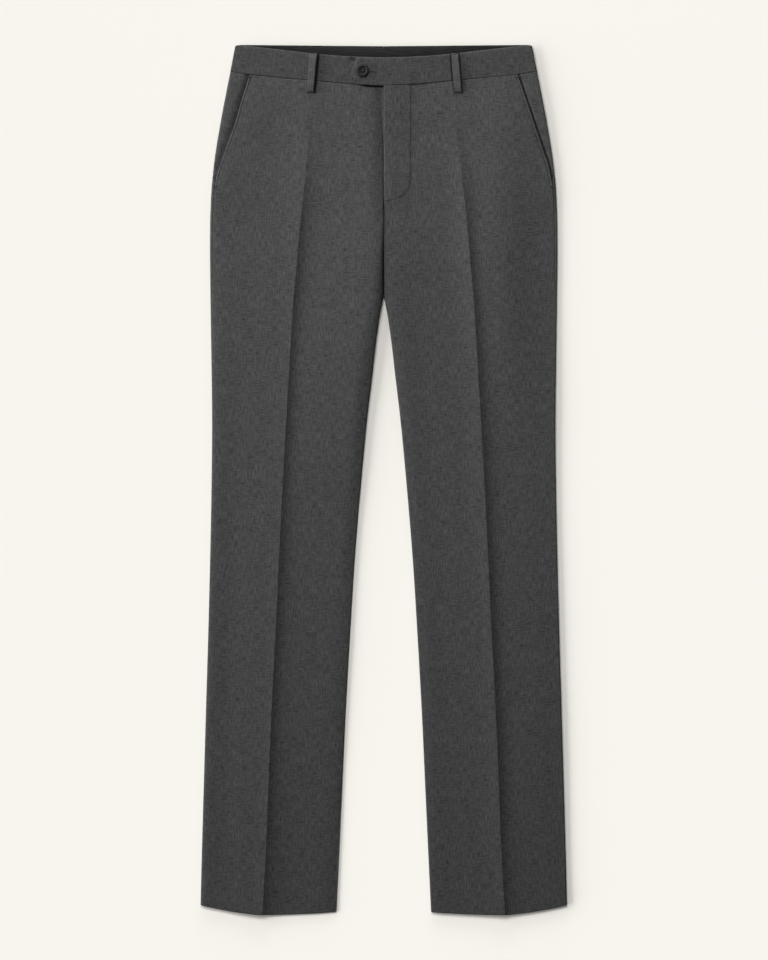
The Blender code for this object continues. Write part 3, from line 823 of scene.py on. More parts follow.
def far_columns(edge_x, radius, from_roll):
    """The same beside the outer edge, from the distances walked from the middle of its roll."""
    gone, up = roll(from_roll, radius, math.pi / 2)
    return edge_x - gone, radius - up


print("the pocket's mouth ends", round(float(mouth(POCKET_FOOT, 1)), 1), "mm from the middle")

# %% [markdown]
# ## Where the fronts are stitched
# The fly is held by one line of stitching in the shape of a J, from the waist seam down and in
# to the middle seam. It pulls the cloth down a little. So does the stitching beside the pocket.

# %% Stitch lines
J_STITCH = np.array(((35.2, 512.0), (35.0, 480.0), (35.0, 440.0), (35.0, 402.0), (34.6, 390.0),
                     (33.2, 381.5), (29.8, 374.6), (23.4, 368.2), (14.3, 364.6), (1.5, 361.6)))
STITCH_PULL, STITCH_WIDTH = 0.2, 0.8  # the groove along the J
FLY_STEP, STEP_FADE = 0.55, 26.0  # the step down from the fly's layers at its stitching
POCKET_STITCH_IN = 3.2  # from the pocket's edge


def line_points(corners, spacing):
    """Evenly spaced points on a smooth line through its corners, spacing apart."""
    length = np.concatenate(((0,), np.cumsum(np.linalg.norm(np.diff(corners, axis=0), axis=1))))
    walked = np.arange(0, length[-1], spacing)
    return np.stack([through(length, corners[:, axis])(walked) for axis in range(2)], -1)


def past_stitch(x, y):
    """The distance from the J-shaped line, positive outside the fly and negative inside it."""
    away = [(x - px) ** 2 + (y - py) ** 2 for px, py in line_points(J_STITCH, 1.0)]
    outside = (x > np.interp(y, J_STITCH[::-1, 1], J_STITCH[::-1, 0])) | (y < J_STITCH[-1, 1])
    return np.sqrt(np.minimum.reduce(away)) * np.where(outside, 1.0, -1.0)


def at_pocket(y):
    """1 above the pocket's foot, 0 below it."""
    return smooth(POCKET_FOOT - 2, POCKET_FOOT + 6, y)


def pocket_pull(y, side):
    """The groove along the pocket's stitching. The right one is soft, and deep at its head."""
    return 0.55 if side > 0 else 0.3 + 0.2 * smooth(430.0, 475.0, y) + 1.2 * bell(y - 517.5, 4.5)


def stitch_depth(across, y, side):
    """How deep the stitching pulls the cloth down, in bells of the distance from it, and the step
    down at the fly's stitching, where the layers under it end."""
    from_stitch = mouth(y, side) - across - POCKET_STITCH_IN
    depth = pocket_pull(y, side) * bell(from_stitch, STITCH_WIDTH) * at_pocket(y)
    if side > 0:
        past = past_stitch(across, y)
        depth = depth + STITCH_PULL * bell(past, STITCH_WIDTH)
        depth = depth + FLY_STEP * smooth(-0.9, 0.7, past) * bell(np.maximum(past, 0), STEP_FADE)
    return depth


print("the fly is stitched over", len(line_points(J_STITCH, 1.0)), "mm")

# %% [markdown]
# ## Under the belt loops
# The two front loops press the band in a little, and shade is painted on the band and the front
# beside them. The cloth needs to know where they lie before it is made, so their places come first.

# %% Where the front loops lie
LOOP_PLACES = {1: (92.4, 96.8, 5.7), -1: (89.8, 94.4, 6.2)}  # head, foot, and half the width
LOOP_HEAD, LOOP_FOOT = 553.6, 502.4
LOOP_DENT = 1.5


def loop_middle(y, side):
    """A loop's middle line is straight from its head to its foot."""
    head_x, foot_x, _ = LOOP_PLACES[side]
    return head_x + (foot_x - head_x) * (LOOP_HEAD - y) / (LOOP_HEAD - LOOP_FOOT)


def under_loop(x, y, side):
    """1 under a front loop, which presses the cloth in and beside which shade is painted, and 0
    from
    1.9 mm beside it. The right loop does so only at its inner edge."""
    half, away = LOOP_PLACES[side][2], x - loop_middle(y, side)
    if side < 0:
        away = np.where(away > 0, away + 2.6, away)
    return 1 - smooth(half - 0.5, half + 1.9, np.abs(away))


print("front loops", [2 * LOOP_PLACES[side][2] for side in SIDES.values()], "mm wide")

# %% [markdown]
# ## Painted shade in the tight places
# In the crevice at the crotch, beside the fly's edge, under the tab, beside the belt loops and
# under the pockets' edges, the cloth's colour is darkened towards black. This is painted shade,
# deeper than the lamps make there, carried by an attribute of the mesh. Each place is a bell of the
# distance from its edge.

# %% Painted shade on a front
CROTCH_SHADE_FROM, CROTCH_SHADE_TO = (222.0, 250.0), (285.0, 345.0)  # where the painted shade in the crotch seam grows and where it fades
LOOP_FOOT_SHADE = {1: 0.8, -1: 0.5}  # how much shade is painted on the front beside a loop's foot


def front_painted_shade(grid, side):
    """Painted shade: 1 in the seam at the crotch, beside the foot of a belt loop and, on the right,
    beside the fly's edge and under the tab."""
    x, y = np.abs(grid[..., 0]), grid[..., 1]
    from_seam, from_top = x - inner(y), y.max(axis=0) - y
    crotch = smooth(*CROTCH_SHADE_FROM, y) * (1 - smooth(*CROTCH_SHADE_TO, y))
    loop = LOOP_FOOT_SHADE[side] * under_loop(x, y, side) * smooth(500.5, 503.5, y)
    if side > 0:
        return np.maximum(loop, 0.75 * crotch * bell(from_seam, 1.1))
    below = 0.4 * smooth(222.0, 240.0, y) * (1 - smooth(250.0, 290.0, y)) * bell(from_seam, 8.0)
    seam = crotch * bell(from_seam, 0.5 + 1.9 * crotch)
    fly = 0.75 * smooth(290.0, 345.0, y) * bell(from_seam, 1.0 + smooth(435.0, 465.0, y))
    tab = (1 - smooth(20.0, 32.0, x)) * bell(from_top, 2.0, 4)
    return np.maximum.reduce((below, loop, seam, fly, tab))


# %% [markdown]
# ## The two fronts
# A front runs from the middle seam or the inseam, over the crease, to the pocket's edge or the
# side seam. Its columns crowd together where the cloth turns: at both rolled edges and at the
# crease. Both edges and both ends are turned in.

# %% The fronts
BESIDE_CREASE = np.array((0.4, 0.9, 1.6, 2.6, 4.0, 6.0, 9.0, 13.0, 19.0, 27.0))
AROUND_CREASE = np.concatenate((-BESIDE_CREASE[::-1], (0.0,), BESIDE_CREASE))[None]
BESIDE_STITCH = np.array((-2.4, -1.6, -1.0, -0.5, 0.0, 0.5, 1.0, 1.6, 2.4))[None]
POCKET_TURN = {1: (1.1, 1.0), -1: (1.6, 1.1)}  # radius and drop of the pocket's turned edge
UNDER_TAB = 3.6  # how far the right front's head is pressed down under the band's tab
LEAST_ROOM = CLOTH + 0.2  # the least height of a front's face over the garment's underside


def front_columns(rows, near, far, side):
    """The columns from the last near one to the first far one, crowded at the crease and, on the
    left, at the fly's stitching."""
    around = AROUND_CREASE + crease(rows)
    inward = between(near, around[:, :1], 18)
    if side > 0:
        fine = np.maximum(J_STITCH[0, 0], near + 6.0) + BESIDE_STITCH
        before, after = between(near, fine[:, :1], 22), between(fine[:, -1:], around[:, :1], 8)
        inward = spread(before, fine, after)
    return spread(inward, around, between(around[:, -1:], far, 20))


def front_grid(side):
    """The upper face of a front, by rows down the leg and columns from the middle outwards: its
    height less the drop of both rolls, sunk by its turned edges and its stitching."""
    rows = panel_rows(fine=(402.0, 352.0) if side > 0 else ())
    near_x, near_drop = near_columns(*inner_roll(rows, front_seam, side))
    edge_x = outer_edge(rows, front_seam)
    from_roll = front_edge(rows, edge_x, side) + PANEL_GAP / 2 + NEAR_EDGE[:, ::-1]
    far_x, far_drop = far_columns(edge_x, edge_radius(rows), from_roll)
    inside = front_columns(rows, near_x[:, -1:], far_x[:, :1], side)
    across = spread(near_x, inside, far_x)
    y = row_y(across, rows, front_seam)
    drop = at_edges(near_drop, across, far_drop)
    grid = surface(across, y, front_height(across, y, side) - drop)

    from_side = at_edges(0 * near_x + FAR_OFF, across, NEAR_EDGE[:, ::-1], FAR_OFF)
    from_top, pocket = y.max(axis=0) - y, at_pocket(rows)
    depth = turned_in(from_side, 0.8, 0.4) * (1 - pocket)
    depth = depth + turned_in(from_side, *POCKET_TURN[side]) * pocket
    depth = depth + turned_in(from_top, 0.9, 0.45) * (rows > 0)
    depth = depth + turned_in(y - hem(across), 1.1, 0.8) * (rows < 0)
    if side < 0:
        depth = depth + UNDER_TAB * (1 - smooth(18.0, 31.0, across)) * bell(from_top, 2.2)
    grid = sink(grid, depth + stitch_depth(across, y, side), 1)
    grid[..., 2] = np.maximum(grid[..., 2], under(y) + LEAST_ROOM)
    return grid * (side, 1, 1)


def front(name, side):
    """A front's grid as cloth, with its painted shade."""
    grid = front_grid(side)
    painted_shade = front_painted_shade(grid, side)
    return cloth(f"front_{name}_cloth", grid, CLOTH, cloths[name], 1, 31.0 * side, painted_shade)


fronts = both(front)

# %% [markdown]
# ## The two backs
# A back lies flat on the table. It runs from the middle seam or inseam along the table and
# round the outer edge to the side seam, so its rolled edge shows beside the front.

# %% The backs
def back_grid(side):
    """The lower face of a back, by rows down the leg and columns from the middle outwards. Past
    the outer edge it turns up and over, and there it has the skin's height."""
    rows = panel_rows(step=6.0)
    start, radius, _ = inner_roll(rows, back_seam, side)
    slope = math.pi / 2 * parted(row_y(inner(rows), rows, back_seam)) + 1e-6
    near_x, near_lift = near_columns(start, radius, slope)
    quarter, last = edge_radius(rows) * math.pi / 2, side_seam(rows) - PANEL_GAP / 2
    from_roll = -3.0 * quarter + (last + 3.0 * quarter) * np.linspace(0, 1, 16)[None]
    edge_x = outer_edge(rows, back_seam)
    far_x, far_drop = far_columns(edge_x, edge_radius(rows), np.abs(from_roll))
    across = spread(near_x, between(near_x[:, -1:], far_x[:, :1], 40), far_x)
    y = row_y(across, rows, back_seam)
    bend = at_edges(near_lift, across, far_drop)
    above = at_edges(0 * near_x, across, from_roll) > 0
    z = np.where(above, skin(across, y, side) - bend, under(y) + bend)
    from_side = at_edges(0 * near_x + FAR_OFF, across, last - from_roll, FAR_OFF)
    depth = turned_in(from_side, 0.8, 0.35) * smooth(*SEAM_DROP, rows)
    depth = depth + turned_in(y - hem(across), 1.1, 0.5) * (rows < 0)
    return sink(surface(across, y, z), depth, -1) * (side, 1, 1)


def back(name, side):
    """A back's grid as cloth, whose wall goes up from it."""
    shift = 77.0 + 13 * side
    return cloth(f"back_{name}_cloth", back_grid(side), CLOTH, cloths[name], -1, shift)


backs = both(back)

# %% [markdown]
# ## The slant pockets
# The pocket's mouth shows a sliver of the facing, which runs in under the front's edge. Beside
# the edge it sinks a little into the pocket, and there its colour is darkened as painted shade.

# %% Pocket facings
FACING_UNDER = 12.0  # how far the facing runs in under the front
FACING_SINK, SINK_REACH = {1: 3.4, -1: 2.0}, {1: 2.1, -1: 5.2}
# How much shade is painted on the facing beside the front's edge, and how far it reaches.
POCKET_SHADE, POCKET_SHADE_REACH = {1: 0.95, -1: 0.72}, {1: 1.7, -1: 4.0}
POCKET_SHADE_LESS_LOW = {1: 0.0, -1: 0.45}  # how much less shade is painted at the lower half of the mouth


def pocket_facing_grid(side):
    """From under the front's edge out to the side seam: the skin of the leg, which sinks by a bell
    of the distance from that edge and stays down under the front."""
    rows = panel_rows(foot=FACING_FOOT, step=4.0)
    edge_x = outer_edge(rows, front_seam)
    first = front_edge(rows, edge_x, side) + FACING_UNDER
    last = side_seam(rows) + PANEL_GAP / 2
    share = np.concatenate((np.linspace(0, 0.94, 48), (0.96, 0.975, 0.99, 1.0)))[None]
    walked = first + (last - first) * share
    across, drop = far_columns(edge_x, edge_radius(rows), walked)
    y = row_y(across, rows, front_seam)
    outside = np.maximum(across - mouth(y, side) - 0.3, 0)
    z = skin(across, y, side) - FACING_SINK[side] * bell(outside, SINK_REACH[side])
    grid = surface(across, y, np.maximum(z - drop, under(y) + 2 * CLOTH))
    depth = turned_in(walked - last, 0.8, 0.35) + turned_in(y.max(axis=0) - y, 0.9, 0.4)
    return sink(grid, depth, 1) * (side, 1, 1)


def pocket_facing(name, side):
    """The facing has painted shade beside the front's edge, by a bell of the distance from it."""
    grid = pocket_facing_grid(side)
    y = grid[..., 1]
    outside = np.maximum(np.abs(grid[..., 0]) - mouth(y, side), 0)
    most = POCKET_SHADE[side] - POCKET_SHADE_LESS_LOW[side] * (1 - smooth(440.0, 475.0, y))
    painted_shade = most * bell(outside, POCKET_SHADE_REACH[side])
    return cloth(f"pocket_facing_{name}_cloth", grid, CLOTH, cloths[name], 1, 190.0, painted_shade)


facings = both(pocket_facing)

# %% [markdown]
# ## The waistband
# The band is one long strip on each side: it starts at the centre front, folds round the side of
# the waist and runs on underneath to the centre back. Its left end is a pointed tab that laps
# over the right end and carries the buttonhole.

# %% The band
TAB_TIP = through((-0.2, 0.0, 0.2, 0.36, 0.44, 0.7, 1.0, 1.2),
                  (-32.2, -35.4, -38.9, -41.7, -41.9, -37.6, -32.8, -29.5))
TAB_STEPS = np.array((0.0, 0.2, 0.45, 0.8, 1.2, 1.7, 2.3, 3.0))  # columns close to the band's end
TAB_LIFT = 0.8  # how far the tab's tip stands off the band under it
LAP = BAND + SEAM  # the band's left end laps over its right end
RIGHT_END = -8.0
FOLD_RADIUS = (BAND_TOP - LOOP_LAYER) / 2
FOLD_FROM = 172.0  # from here outwards the band turns towards its fold
DIP, DIP_DEPTH = (40.0, 546.5), 2.3  # the right band dips just past the tab's tip
DIP_SHADE_AT = (39.5, 546.4)  # and here its colour is painted darkest, as shade
BAND_HEIGHT = 36.0


def band_level(x, side):
    """The band's upper level, which the lapped left end stands above."""
    lap = LAP * (1 - smooth(12.0, 95.0, x)) + TAB_LIFT * (1 - smooth(-34.0, 10.0, x))
    return BAND_TOP + (lap if side > 0 else 0.0 * x)


def band_front(share, side):
    """The part that shows, from the centre front to where it starts to turn, with the dent under
    the belt loop and, on the right, a bell-shaped dip past the tab's tip."""
    start = TAB_STEPS + (TAB_TIP(share) if side > 0 else 0 * share + RIGHT_END)
    x = spread(start, between(start[:, -1:], 0 * share + FOLD_FROM, 220))
    low = front_seam(np.abs(x)) + waist_gap(np.abs(x)) / 2
    y = low + (front_top(np.abs(x)) - low) * share
    if side > 0:
        y = y - 0.2 * (1 - smooth(-3.0, 4.0, x)) * (1 - share)
    z = band_level(x, side) - LOOP_DENT * under_loop(x, y, side)
    if side < 0:
        z = z - DIP_DEPTH * bell(x - DIP[0], 4.4) * bell(y - DIP[1], 3.6)
    return surface(x, y, z)


def band_grid(side):
    """Rows from the waist seam to the top edge, and columns from the centre front round the side
    fold, which is half a circle, to the centre back."""
    share = crowded((0.0, 0.007, 0.016, 0.028, 0.046, 0.07), 0.12, 0.88, 16)
    shown = band_front(share, side)
    fold_y = WAIST_Y + (front_top(199.0) - WAIST_Y) * share
    middle = outer(fold_y) - FOLD_RADIUS
    angle = np.linspace(math.pi / 2, -math.pi / 2, 17)[None]
    fold_z = LOOP_LAYER + FOLD_RADIUS * (1 + np.sin(angle))
    folded = surface(middle + FOLD_RADIUS * np.cos(angle), fold_y, fold_z)
    join = np.array((0.25, 0.5, 0.75, 0.95))
    join_x = FOLD_FROM + (middle - FOLD_FROM) * join
    join_y = shown[:, -1:, 1] + (fold_y - shown[:, -1:, 1]) * join
    turn, centre = 0 * share + FOLD_FROM, 0 * share + SEAM / 2
    x = spread(between(middle, turn, 4), between(turn, centre, 30), centre)
    low = back_seam(x) + waist_gap(x) / 2
    behind = surface(x, low + (back_top(x) - low) * share, LOOP_LAYER)
    grid = np.concatenate((shown, surface(join_x, join_y, BAND_TOP), folded, behind), 1)

    low, high = share * BAND_HEIGHT, (1 - share) * BAND_HEIGHT
    depth = turned_in(low, 1.2, 0.5) + turned_in(high, 2.6, 2.1) + 0 * grid[..., 0]
    if side > 0:
        tip = turned_in(TAB_STEPS, 1.7, 1.9)
        depth[:, : tip.size] = np.maximum(depth[:, : tip.size], tip)
    normal = normals(grid)
    normal = normal * np.sign(normal[10, 60, 2])
    return (grid - normal * depth[..., None]) * (side, 1, 1)


def band_cloth(name, side):
    """The band has painted shade beside the belt loop and, on the right, past the tab's tip."""
    grid = band_grid(side)
    x, y = side * grid[..., 0], grid[..., 1]
    painted_shade = 0.85 * under_loop(x, y, side) * (grid[..., 2] > BAND_TOP - 3.0)
    if side < 0:
        painted_shade = np.maximum(painted_shade, 0.7 * bell(x - DIP_SHADE_AT[0], 4.5) * bell(y - DIP_SHADE_AT[1], 3.4))
    shift = 260.0 + 40 * side
    return cloth(f"waistband_{name}_cloth", grid, BAND, band_cloths[name], 1, shift, painted_shade)


bands = both(band_cloth)

# %% [markdown]
# ## The band's facing
# Inside the back of the band lies a strip of dark lining. Only its top shows, over the front of
# the band, so it is made as one level strip with its two long edges turned in.

# %% The band's facing
FACING_LOW, FACING_HEIGHT = 531.0, 30.0


def band_facing_grid(side):
    """The level strip, which goes down a little behind the front of the band and under a loop."""
    share = crowded((0.0, 0.01, 0.025, 0.05), 0.1, 0.9, 12)
    end = outer(FACING_LOW + 32.0 * share) - 3.6  # inside the band's fold
    x = end * np.concatenate(((0.0, 0.0008), np.linspace(0.004, 1, 60)))[None]
    y = FACING_LOW + (back_top(x) - 2.0 - FACING_LOW) * share
    z = LOOP_LAYER + BAND + SEAM + FACING - 0.9 * smooth(14.0, -4.0, y - front_top(x))
    low, high = share * FACING_HEIGHT, (1 - share) * FACING_HEIGHT
    z = z - turned_in(low, 1.0, 0.4) - turned_in(high, 1.0, 0.4)
    z = z - 0.7 * under_loop(x, y, side) * smooth(553.0, 547.0, y)
    return surface(x, y, z) * (side, 1, 1)


def band_facing(name, side):
    """It has a little painted shade where it goes down behind the front of the band."""
    grid = band_facing_grid(side)
    painted_shade = 0.5 * (1 - smooth(0.0, 10.0, grid[..., 1] - front_top(np.abs(grid[..., 0]))))
    return cloth(f"band_facing_{name}_lining", grid, FACING, lining, painted_shade=painted_shade)


band_facings = both(band_facing)

# %% [markdown]
# ## Belt loops
# A loop is a narrow strip, sewn down at its head and at its folded foot, and free between them,
# so it stands off the band and casts a thin shadow. Painted shade along its edges and on the cloth
# beside it makes that shadow darker.

# %% Belt loops
LOOP_THICK = 1.7
# The room between a loop and the cloth under it: height, then the room.
(loop_room,) = curves((
    (553.6, 0.3), (549.5, 2.4), (542.0, 3.6), (530.0, 3.9), (519.0, 3.9), (511.0, 3.6),
    (506.0, 2.0), (502.4, 0.3),
))
# For each loop: its share of that room, the radius and drop of its left edge, and the radius of
# its right edge, which curls down over most of the room.
LOOP_FORM = {1: (0.7, (1.2, 1.4), 2.2), -1: (1.0, (1.4, 1.2), 3.6)}
# How wide a band of painted shade runs along its right edge, and how much shade is painted along
# its left edge.
LOOP_EDGE_SHADE = {1: (1.0, 0.85), -1: (3.2, 0.2)}
BACK_LOOP_Y, BACK_LOOP_HALF = (562.5, 518.0), 5.5


def sloped(distance, reach, drop):
    """How deep an edge goes down that falls as a nearly straight slope: with t from 0 to 1 over
    the reach, drop * 1.15 * t * t / (t + 0.15)."""
    t = np.clip(1 - distance / reach, 0, 1)
    return drop * 1.15 * t * t / (t + 0.15)


def front_loop_grid(side):
    """Rows from head to foot: the highest cloth under the row, plus the room between, with the
    strip's long edges rounded down."""
    half = LOOP_PLACES[side][2]
    y = np.linspace(LOOP_HEAD, LOOP_FOOT, 56)[:, None]
    offset = half * np.sin(np.linspace(-math.pi / 2, math.pi / 2, 41))[None]
    x = loop_middle(y, side) + offset
    below = np.where(y > front_seam(x) - 1.0, band_level(x, side), skin(x, y, side))
    share, left_edge, right_edge = LOOP_FORM[side]
    room = share * loop_room(y)
    z = below.max(axis=1, keepdims=True) + room + LOOP_THICK - 0.4
    z = z + 0.1 * share * side * offset - turned_in(half + side * offset, *left_edge)
    z = z - sloped(half - side * offset, right_edge, 0.9 + 1.15 * room)
    z = z - turned_in(y - LOOP_FOOT, 1.0, 0.5) - turned_in(LOOP_HEAD - y, 1.0, 0.5)
    return surface(x, y, z) * (side, 1, 1)


def front_loop(name, side):
    """The steep right edge has painted shade, and so has a thin line along the left edge."""
    grid, half = front_loop_grid(side), LOOP_PLACES[side][2]
    wide, left = LOOP_EDGE_SHADE[side]
    offset = grid[..., 0] - side * loop_middle(grid[..., 1], side)
    painted_shade = 0.97 * smooth(half - wide - 0.5, half - wide + 0.7, offset)
    painted_shade = np.maximum(painted_shade, left * smooth(-half + 1.2, -half + 0.3, offset))
    return cloth(f"belt_loop_front_{name}_cloth", grid, LOOP_THICK, loop_finish, 1, 333.0, painted_shade)


def back_loop(name, middle):
    """A loop pressed flat between the band and the table, with its four edges turned in."""
    head, foot = BACK_LOOP_Y
    y = np.linspace(head, foot, 24)[:, None]
    half = BACK_LOOP_HALF - turned_in(np.minimum(head - y, y - foot), 1.2, 1.2)
    offset = half * np.array((-1, -0.97, -0.9, -0.75, -0.4, 0, 0.4, 0.75, 0.9, 0.97, 1))[None]
    grid = surface(middle + offset, y, turned_in(half - np.abs(offset), 0.8, 0.35))
    return cloth(f"belt_loop_back_{name}_cloth", grid, CLOTH - 0.05, loop_finish, -1, 410.0)


front_loops = both(front_loop)
back_loops = {
    name: back_loop(name, x) for name, x in (("left", 100.0), ("centre", 0.0), ("right", -100.0))
}

# %% [markdown]
# ## Inside the fly
# Under the left front a strip of cloth, the underlap, and the zip lie flat. Neither shows, but a
# pair of trousers has both, so they are made plainly.

# %% Underlap and zip
def strip_grid(x_low, x_high, y_high, y_low, level, columns):
    """A level strip inside the fly that rises with the cloth under it."""
    y = np.linspace(y_high, y_low, 60)[:, None]
    return surface(np.linspace(x_low, x_high, columns)[None], y, under(y) + level)


def zip_grid(level):
    """The tape, with the closed coil standing up as a row of small humps along its middle: a bell
    across, times a sine along."""
    grid = strip_grid(1.0, 22.0, 503.0, 375.0, level, 24)
    coil = 0.25 * bell(grid[..., 0] - 11.5, 2.2) * (1 + 0.3 * np.sin(grid[..., 1] * 2.2))
    return grid + coil[..., None] * (0, 0, 1)


underlap_grid = strip_grid(-10.0, 34.0, 509.0, 352.0, 2 * CLOTH + 0.15, 12)
underlap = cloth("fly_underlap_cloth", underlap_grid, CLOTH, cloths["right"], 1, 500.0)
zipper = cloth("fly_zip_tape", zip_grid(3 * CLOTH + 0.3), CLOTH, tape)

# %% [markdown]
# ## Thread
# A stitch is a short thread that dives into the cloth at both ends. All the stitches of one seam
# are worked out together: a small arch along each step of the line, with a ring of points round
# every station of the arch.

# %% Threads
def signed_volume(made):
    """Six times the volume inside a mesh: positive when its faces point outwards."""
    made.data.calc_loop_triangles()
    corners = np.array([triangle.vertices[:] for triangle in made.data.loop_triangles])
    points = np.empty(3 * len(made.data.vertices))
    made.data.vertices.foreach_get("co", points)
    a, b, c = points.reshape(-1, 3)[corners].transpose(1, 0, 2)
    return float((a * np.cross(b, c)).sum())


def closed_tubes(name, points, finish):
    """Closed tubes from points by tube, station along it and place in the ring: quads join each
    ring to the next, and one face closes each end."""
    number = np.arange(points[..., 0].size).reshape(points.shape[:3])
    after = np.roll(number, -1, axis=2)
    walls = (number[:, :-1], after[:, :-1], after[:, 1:], number[:, 1:])
    faces = np.stack(walls, -1).reshape(-1, 4).tolist()
    faces += number[:, 0, ::-1].tolist() + number[:, -1].tolist()
    made = add_mesh(name, points.reshape(-1, 3), faces, finish)
    if signed_volume(made) < 0:
        made.data.flip_normals()
    print(f"{name}: {len(points)} closed, {len(faces)} faces")
    return made


def threads(name, paths, radius, finish, sides=6):
    """A tube for each path. paths has an entry for each thread, with stations along it and x, y,
    z. The radius narrows at both ends, as sqrt(1 - 0.75 * t ** 4)."""
    paths = np.asarray(paths, float)
    along = unit(np.gradient(paths, axis=1))
    level = unit(np.cross(along, (0.0, 0.0, 1.0)))
    upright = np.cross(level, along)
    ring = (2 * math.pi * np.arange(sides) / sides)[:, None]
    width = radius * np.sqrt(1 - 0.75 * np.linspace(-1, 1, paths.shape[1]) ** 4)
    around = np.cos(ring) * level[:, :, None] + np.sin(ring) * upright[:, :, None]
    return closed_tubes(name, paths[:, :, None] + width[None, :, None, None] * around, finish)


# %% [markdown]
# ## Stitches and bar tacks
# A row of stitches steps along a smooth line, with a gap after each thread. A bar tack packs its
# threads side by side. Both take the height of the cloth they lie on as a function of x and y.

# %% Stitches
def stitches(corners, length, gap, height, side=1, lift=0.05, arch=0.12, stations=5):
    """A row of stitches along a line: each is an arch of the given length that stands a little
    over the cloth's height in its middle and dives under it at its ends, as 1 - 2 * t ** 2."""
    fine = line_points(np.asarray(corners, float), (length + gap) / 12)
    first = np.arange(0, len(fine) - 12, 12)
    inside = np.round(np.linspace(0, 12 * length / (length + gap), stations)).astype(int)
    flat = fine[first[:, None] + inside[None]]
    t = np.linspace(-1, 1, stations)
    z = height(flat[..., 0], flat[..., 1]) + lift + arch * (1 - 2 * t**2)
    return surface(side * flat[..., 0], flat[..., 1], z)


def bar(middle, direction, length, width, count, height, side=1):
    """A bar tack: many short threads side by side across a line, each flat in its middle and
    diving at its ends by the fourth power of t."""
    direction = np.asarray(direction, float) / np.hypot(*direction)
    square = np.array((-direction[1], direction[0]))
    steps = np.linspace(-0.5, 0.5, count)[:, None, None] * length * direction
    t = np.linspace(-1, 1, 5)
    flat = np.asarray(middle) + steps + (t * width / 2)[None, :, None] * square
    z = height(flat[..., 0], flat[..., 1]) + 0.3 - 0.35 * t**4
    return surface(side * flat[..., 0], flat[..., 1], z)


# %% [markdown]
# ## Stitching on the fronts
# The fly's stitches follow the J. The pocket's run beside its edge, and a bar tack holds each end
# of its mouth, where a hand would tear it.

# %% Fly and pocket stitching
def front_face(side):
    """The front's finished upper face, with the pull of its stitching, as a function of x and y."""
    return lambda x, y: front_height(x, y, side) - stitch_depth(x, y, side)


def pocket_threads(name, side):
    """A row of stitches beside the mouth, and a bar tack at its head and at its foot."""
    y, face = np.linspace(522.0, 384.0, 30), front_face(side)
    line = np.stack((mouth(y, side) - POCKET_STITCH_IN, y), -1)
    row = stitches(line, 2.2, 1.4, face, side, 0.02, 0.12)
    head = bar((174.6, 523.0), (-1.0, 0.0), 4.5, 1.8, 8, face, side)
    foot = bar((218.6, 380.5), (-1.0, 0.25), 5.0, 1.8, 9, face, side)
    paths = np.concatenate((row, head, foot))
    return threads(f"pocket_stitching_{name}", paths, 0.32, stitch_thread)


fly_threads = stitches(J_STITCH, 2.3, 0.9, front_face(1), lift=0.0, arch=0.1)
fly_stitching = threads("fly_stitching", fly_threads, 0.26, stitch_thread)
pocket_stitching = both(pocket_threads)

# %% [markdown]
# ## The button
# A turned trouser button: a raised rim, a dished face and four holes. Its surface is a profile
# spun about the button's axis, with the holes pressed into the face as deep round wells. Spun
# this way it is a closed tube with very wide rings, so it is closed as the threads are.

# %% The button
HOLE_OUT, HOLE_RADIUS, HOLE_DEPTH = 1.75, 0.95, 1.25
DISH = 4.6  # radius of the flat of the dish
# The profile from the middle of the back, round the rim and down into the dish: radius, height.
PROFILE = ((0.05, 0.0), (3.0, 0.0), (5.8, 0.0), (7.4, 0.2), (8.2, 0.5), (8.5, 0.9), (8.3, 1.3),
           (7.6, 1.75), (6.8, 2.3), (6.2, 2.6), (5.8, 2.6), (5.4, 2.25), (4.8, 1.58))


def button_grid():
    """Rings by angle. The profile is walked from the back's middle to the face's middle; on the
    face each point near a hole's axis is pushed down to just over the back."""
    walk = np.arange(len(PROFILE))
    fine = np.linspace(0, walk[-1], 50)
    rim_r, rim_z = [through(walk, column)(fine) for column in np.transpose(PROFILE)]
    face_r = np.linspace(DISH, 0.05, 40)
    r = np.concatenate((rim_r, face_r))[:, None]
    z = np.concatenate((rim_z, 1.45 + 0.08 * (face_r / DISH) ** 4))[:, None]
    on_face = np.concatenate((0 * rim_r, 0 * face_r + 1))[:, None]
    angle = np.linspace(0, 2 * math.pi, 96, endpoint=False)[None]
    x, y = r * np.cos(angle), r * np.sin(angle)
    for hole in np.radians((45, 135, 225, 315)):
        away = np.hypot(x - HOLE_OUT * math.cos(hole), y - HOLE_OUT * math.sin(hole))
        z = z - on_face * HOLE_DEPTH * (1 - smooth(HOLE_RADIUS - 0.12, HOLE_RADIUS + 0.12, away))
    return surface(x, y, z)


button_level = float(band_level(BUTTON_AT[0], 1)) + SEAM
button_points = button_grid() + (*BUTTON_AT, button_level)
waist_button = closed_tubes("waist_button_resin", button_points[None], resin)

# %% [markdown]
# ## Thread through the button, and the buttonhole
# The thread crosses the dished face between the holes. The buttonhole lies beside the button: two
# close rows of tiny stitches along a slit. Bar tacks hold the belt loops at both their ends.

# %% Thread on the band
def button_cross():
    """Two threads over the face, side by side, from each hole to the opposite one."""
    t = np.linspace(-1, 1, 9)
    paths = []
    for turn in np.radians((45, 135)):
        for shift in (-0.22, 0.22):
            x = BUTTON_AT[0] + HOLE_OUT * t * math.cos(turn) - shift * math.sin(turn)
            y = BUTTON_AT[1] + HOLE_OUT * t * math.sin(turn) + shift * math.cos(turn)
            paths.append(surface(x, y, button_level + 1.65 - 0.9 * t**6))
    return paths


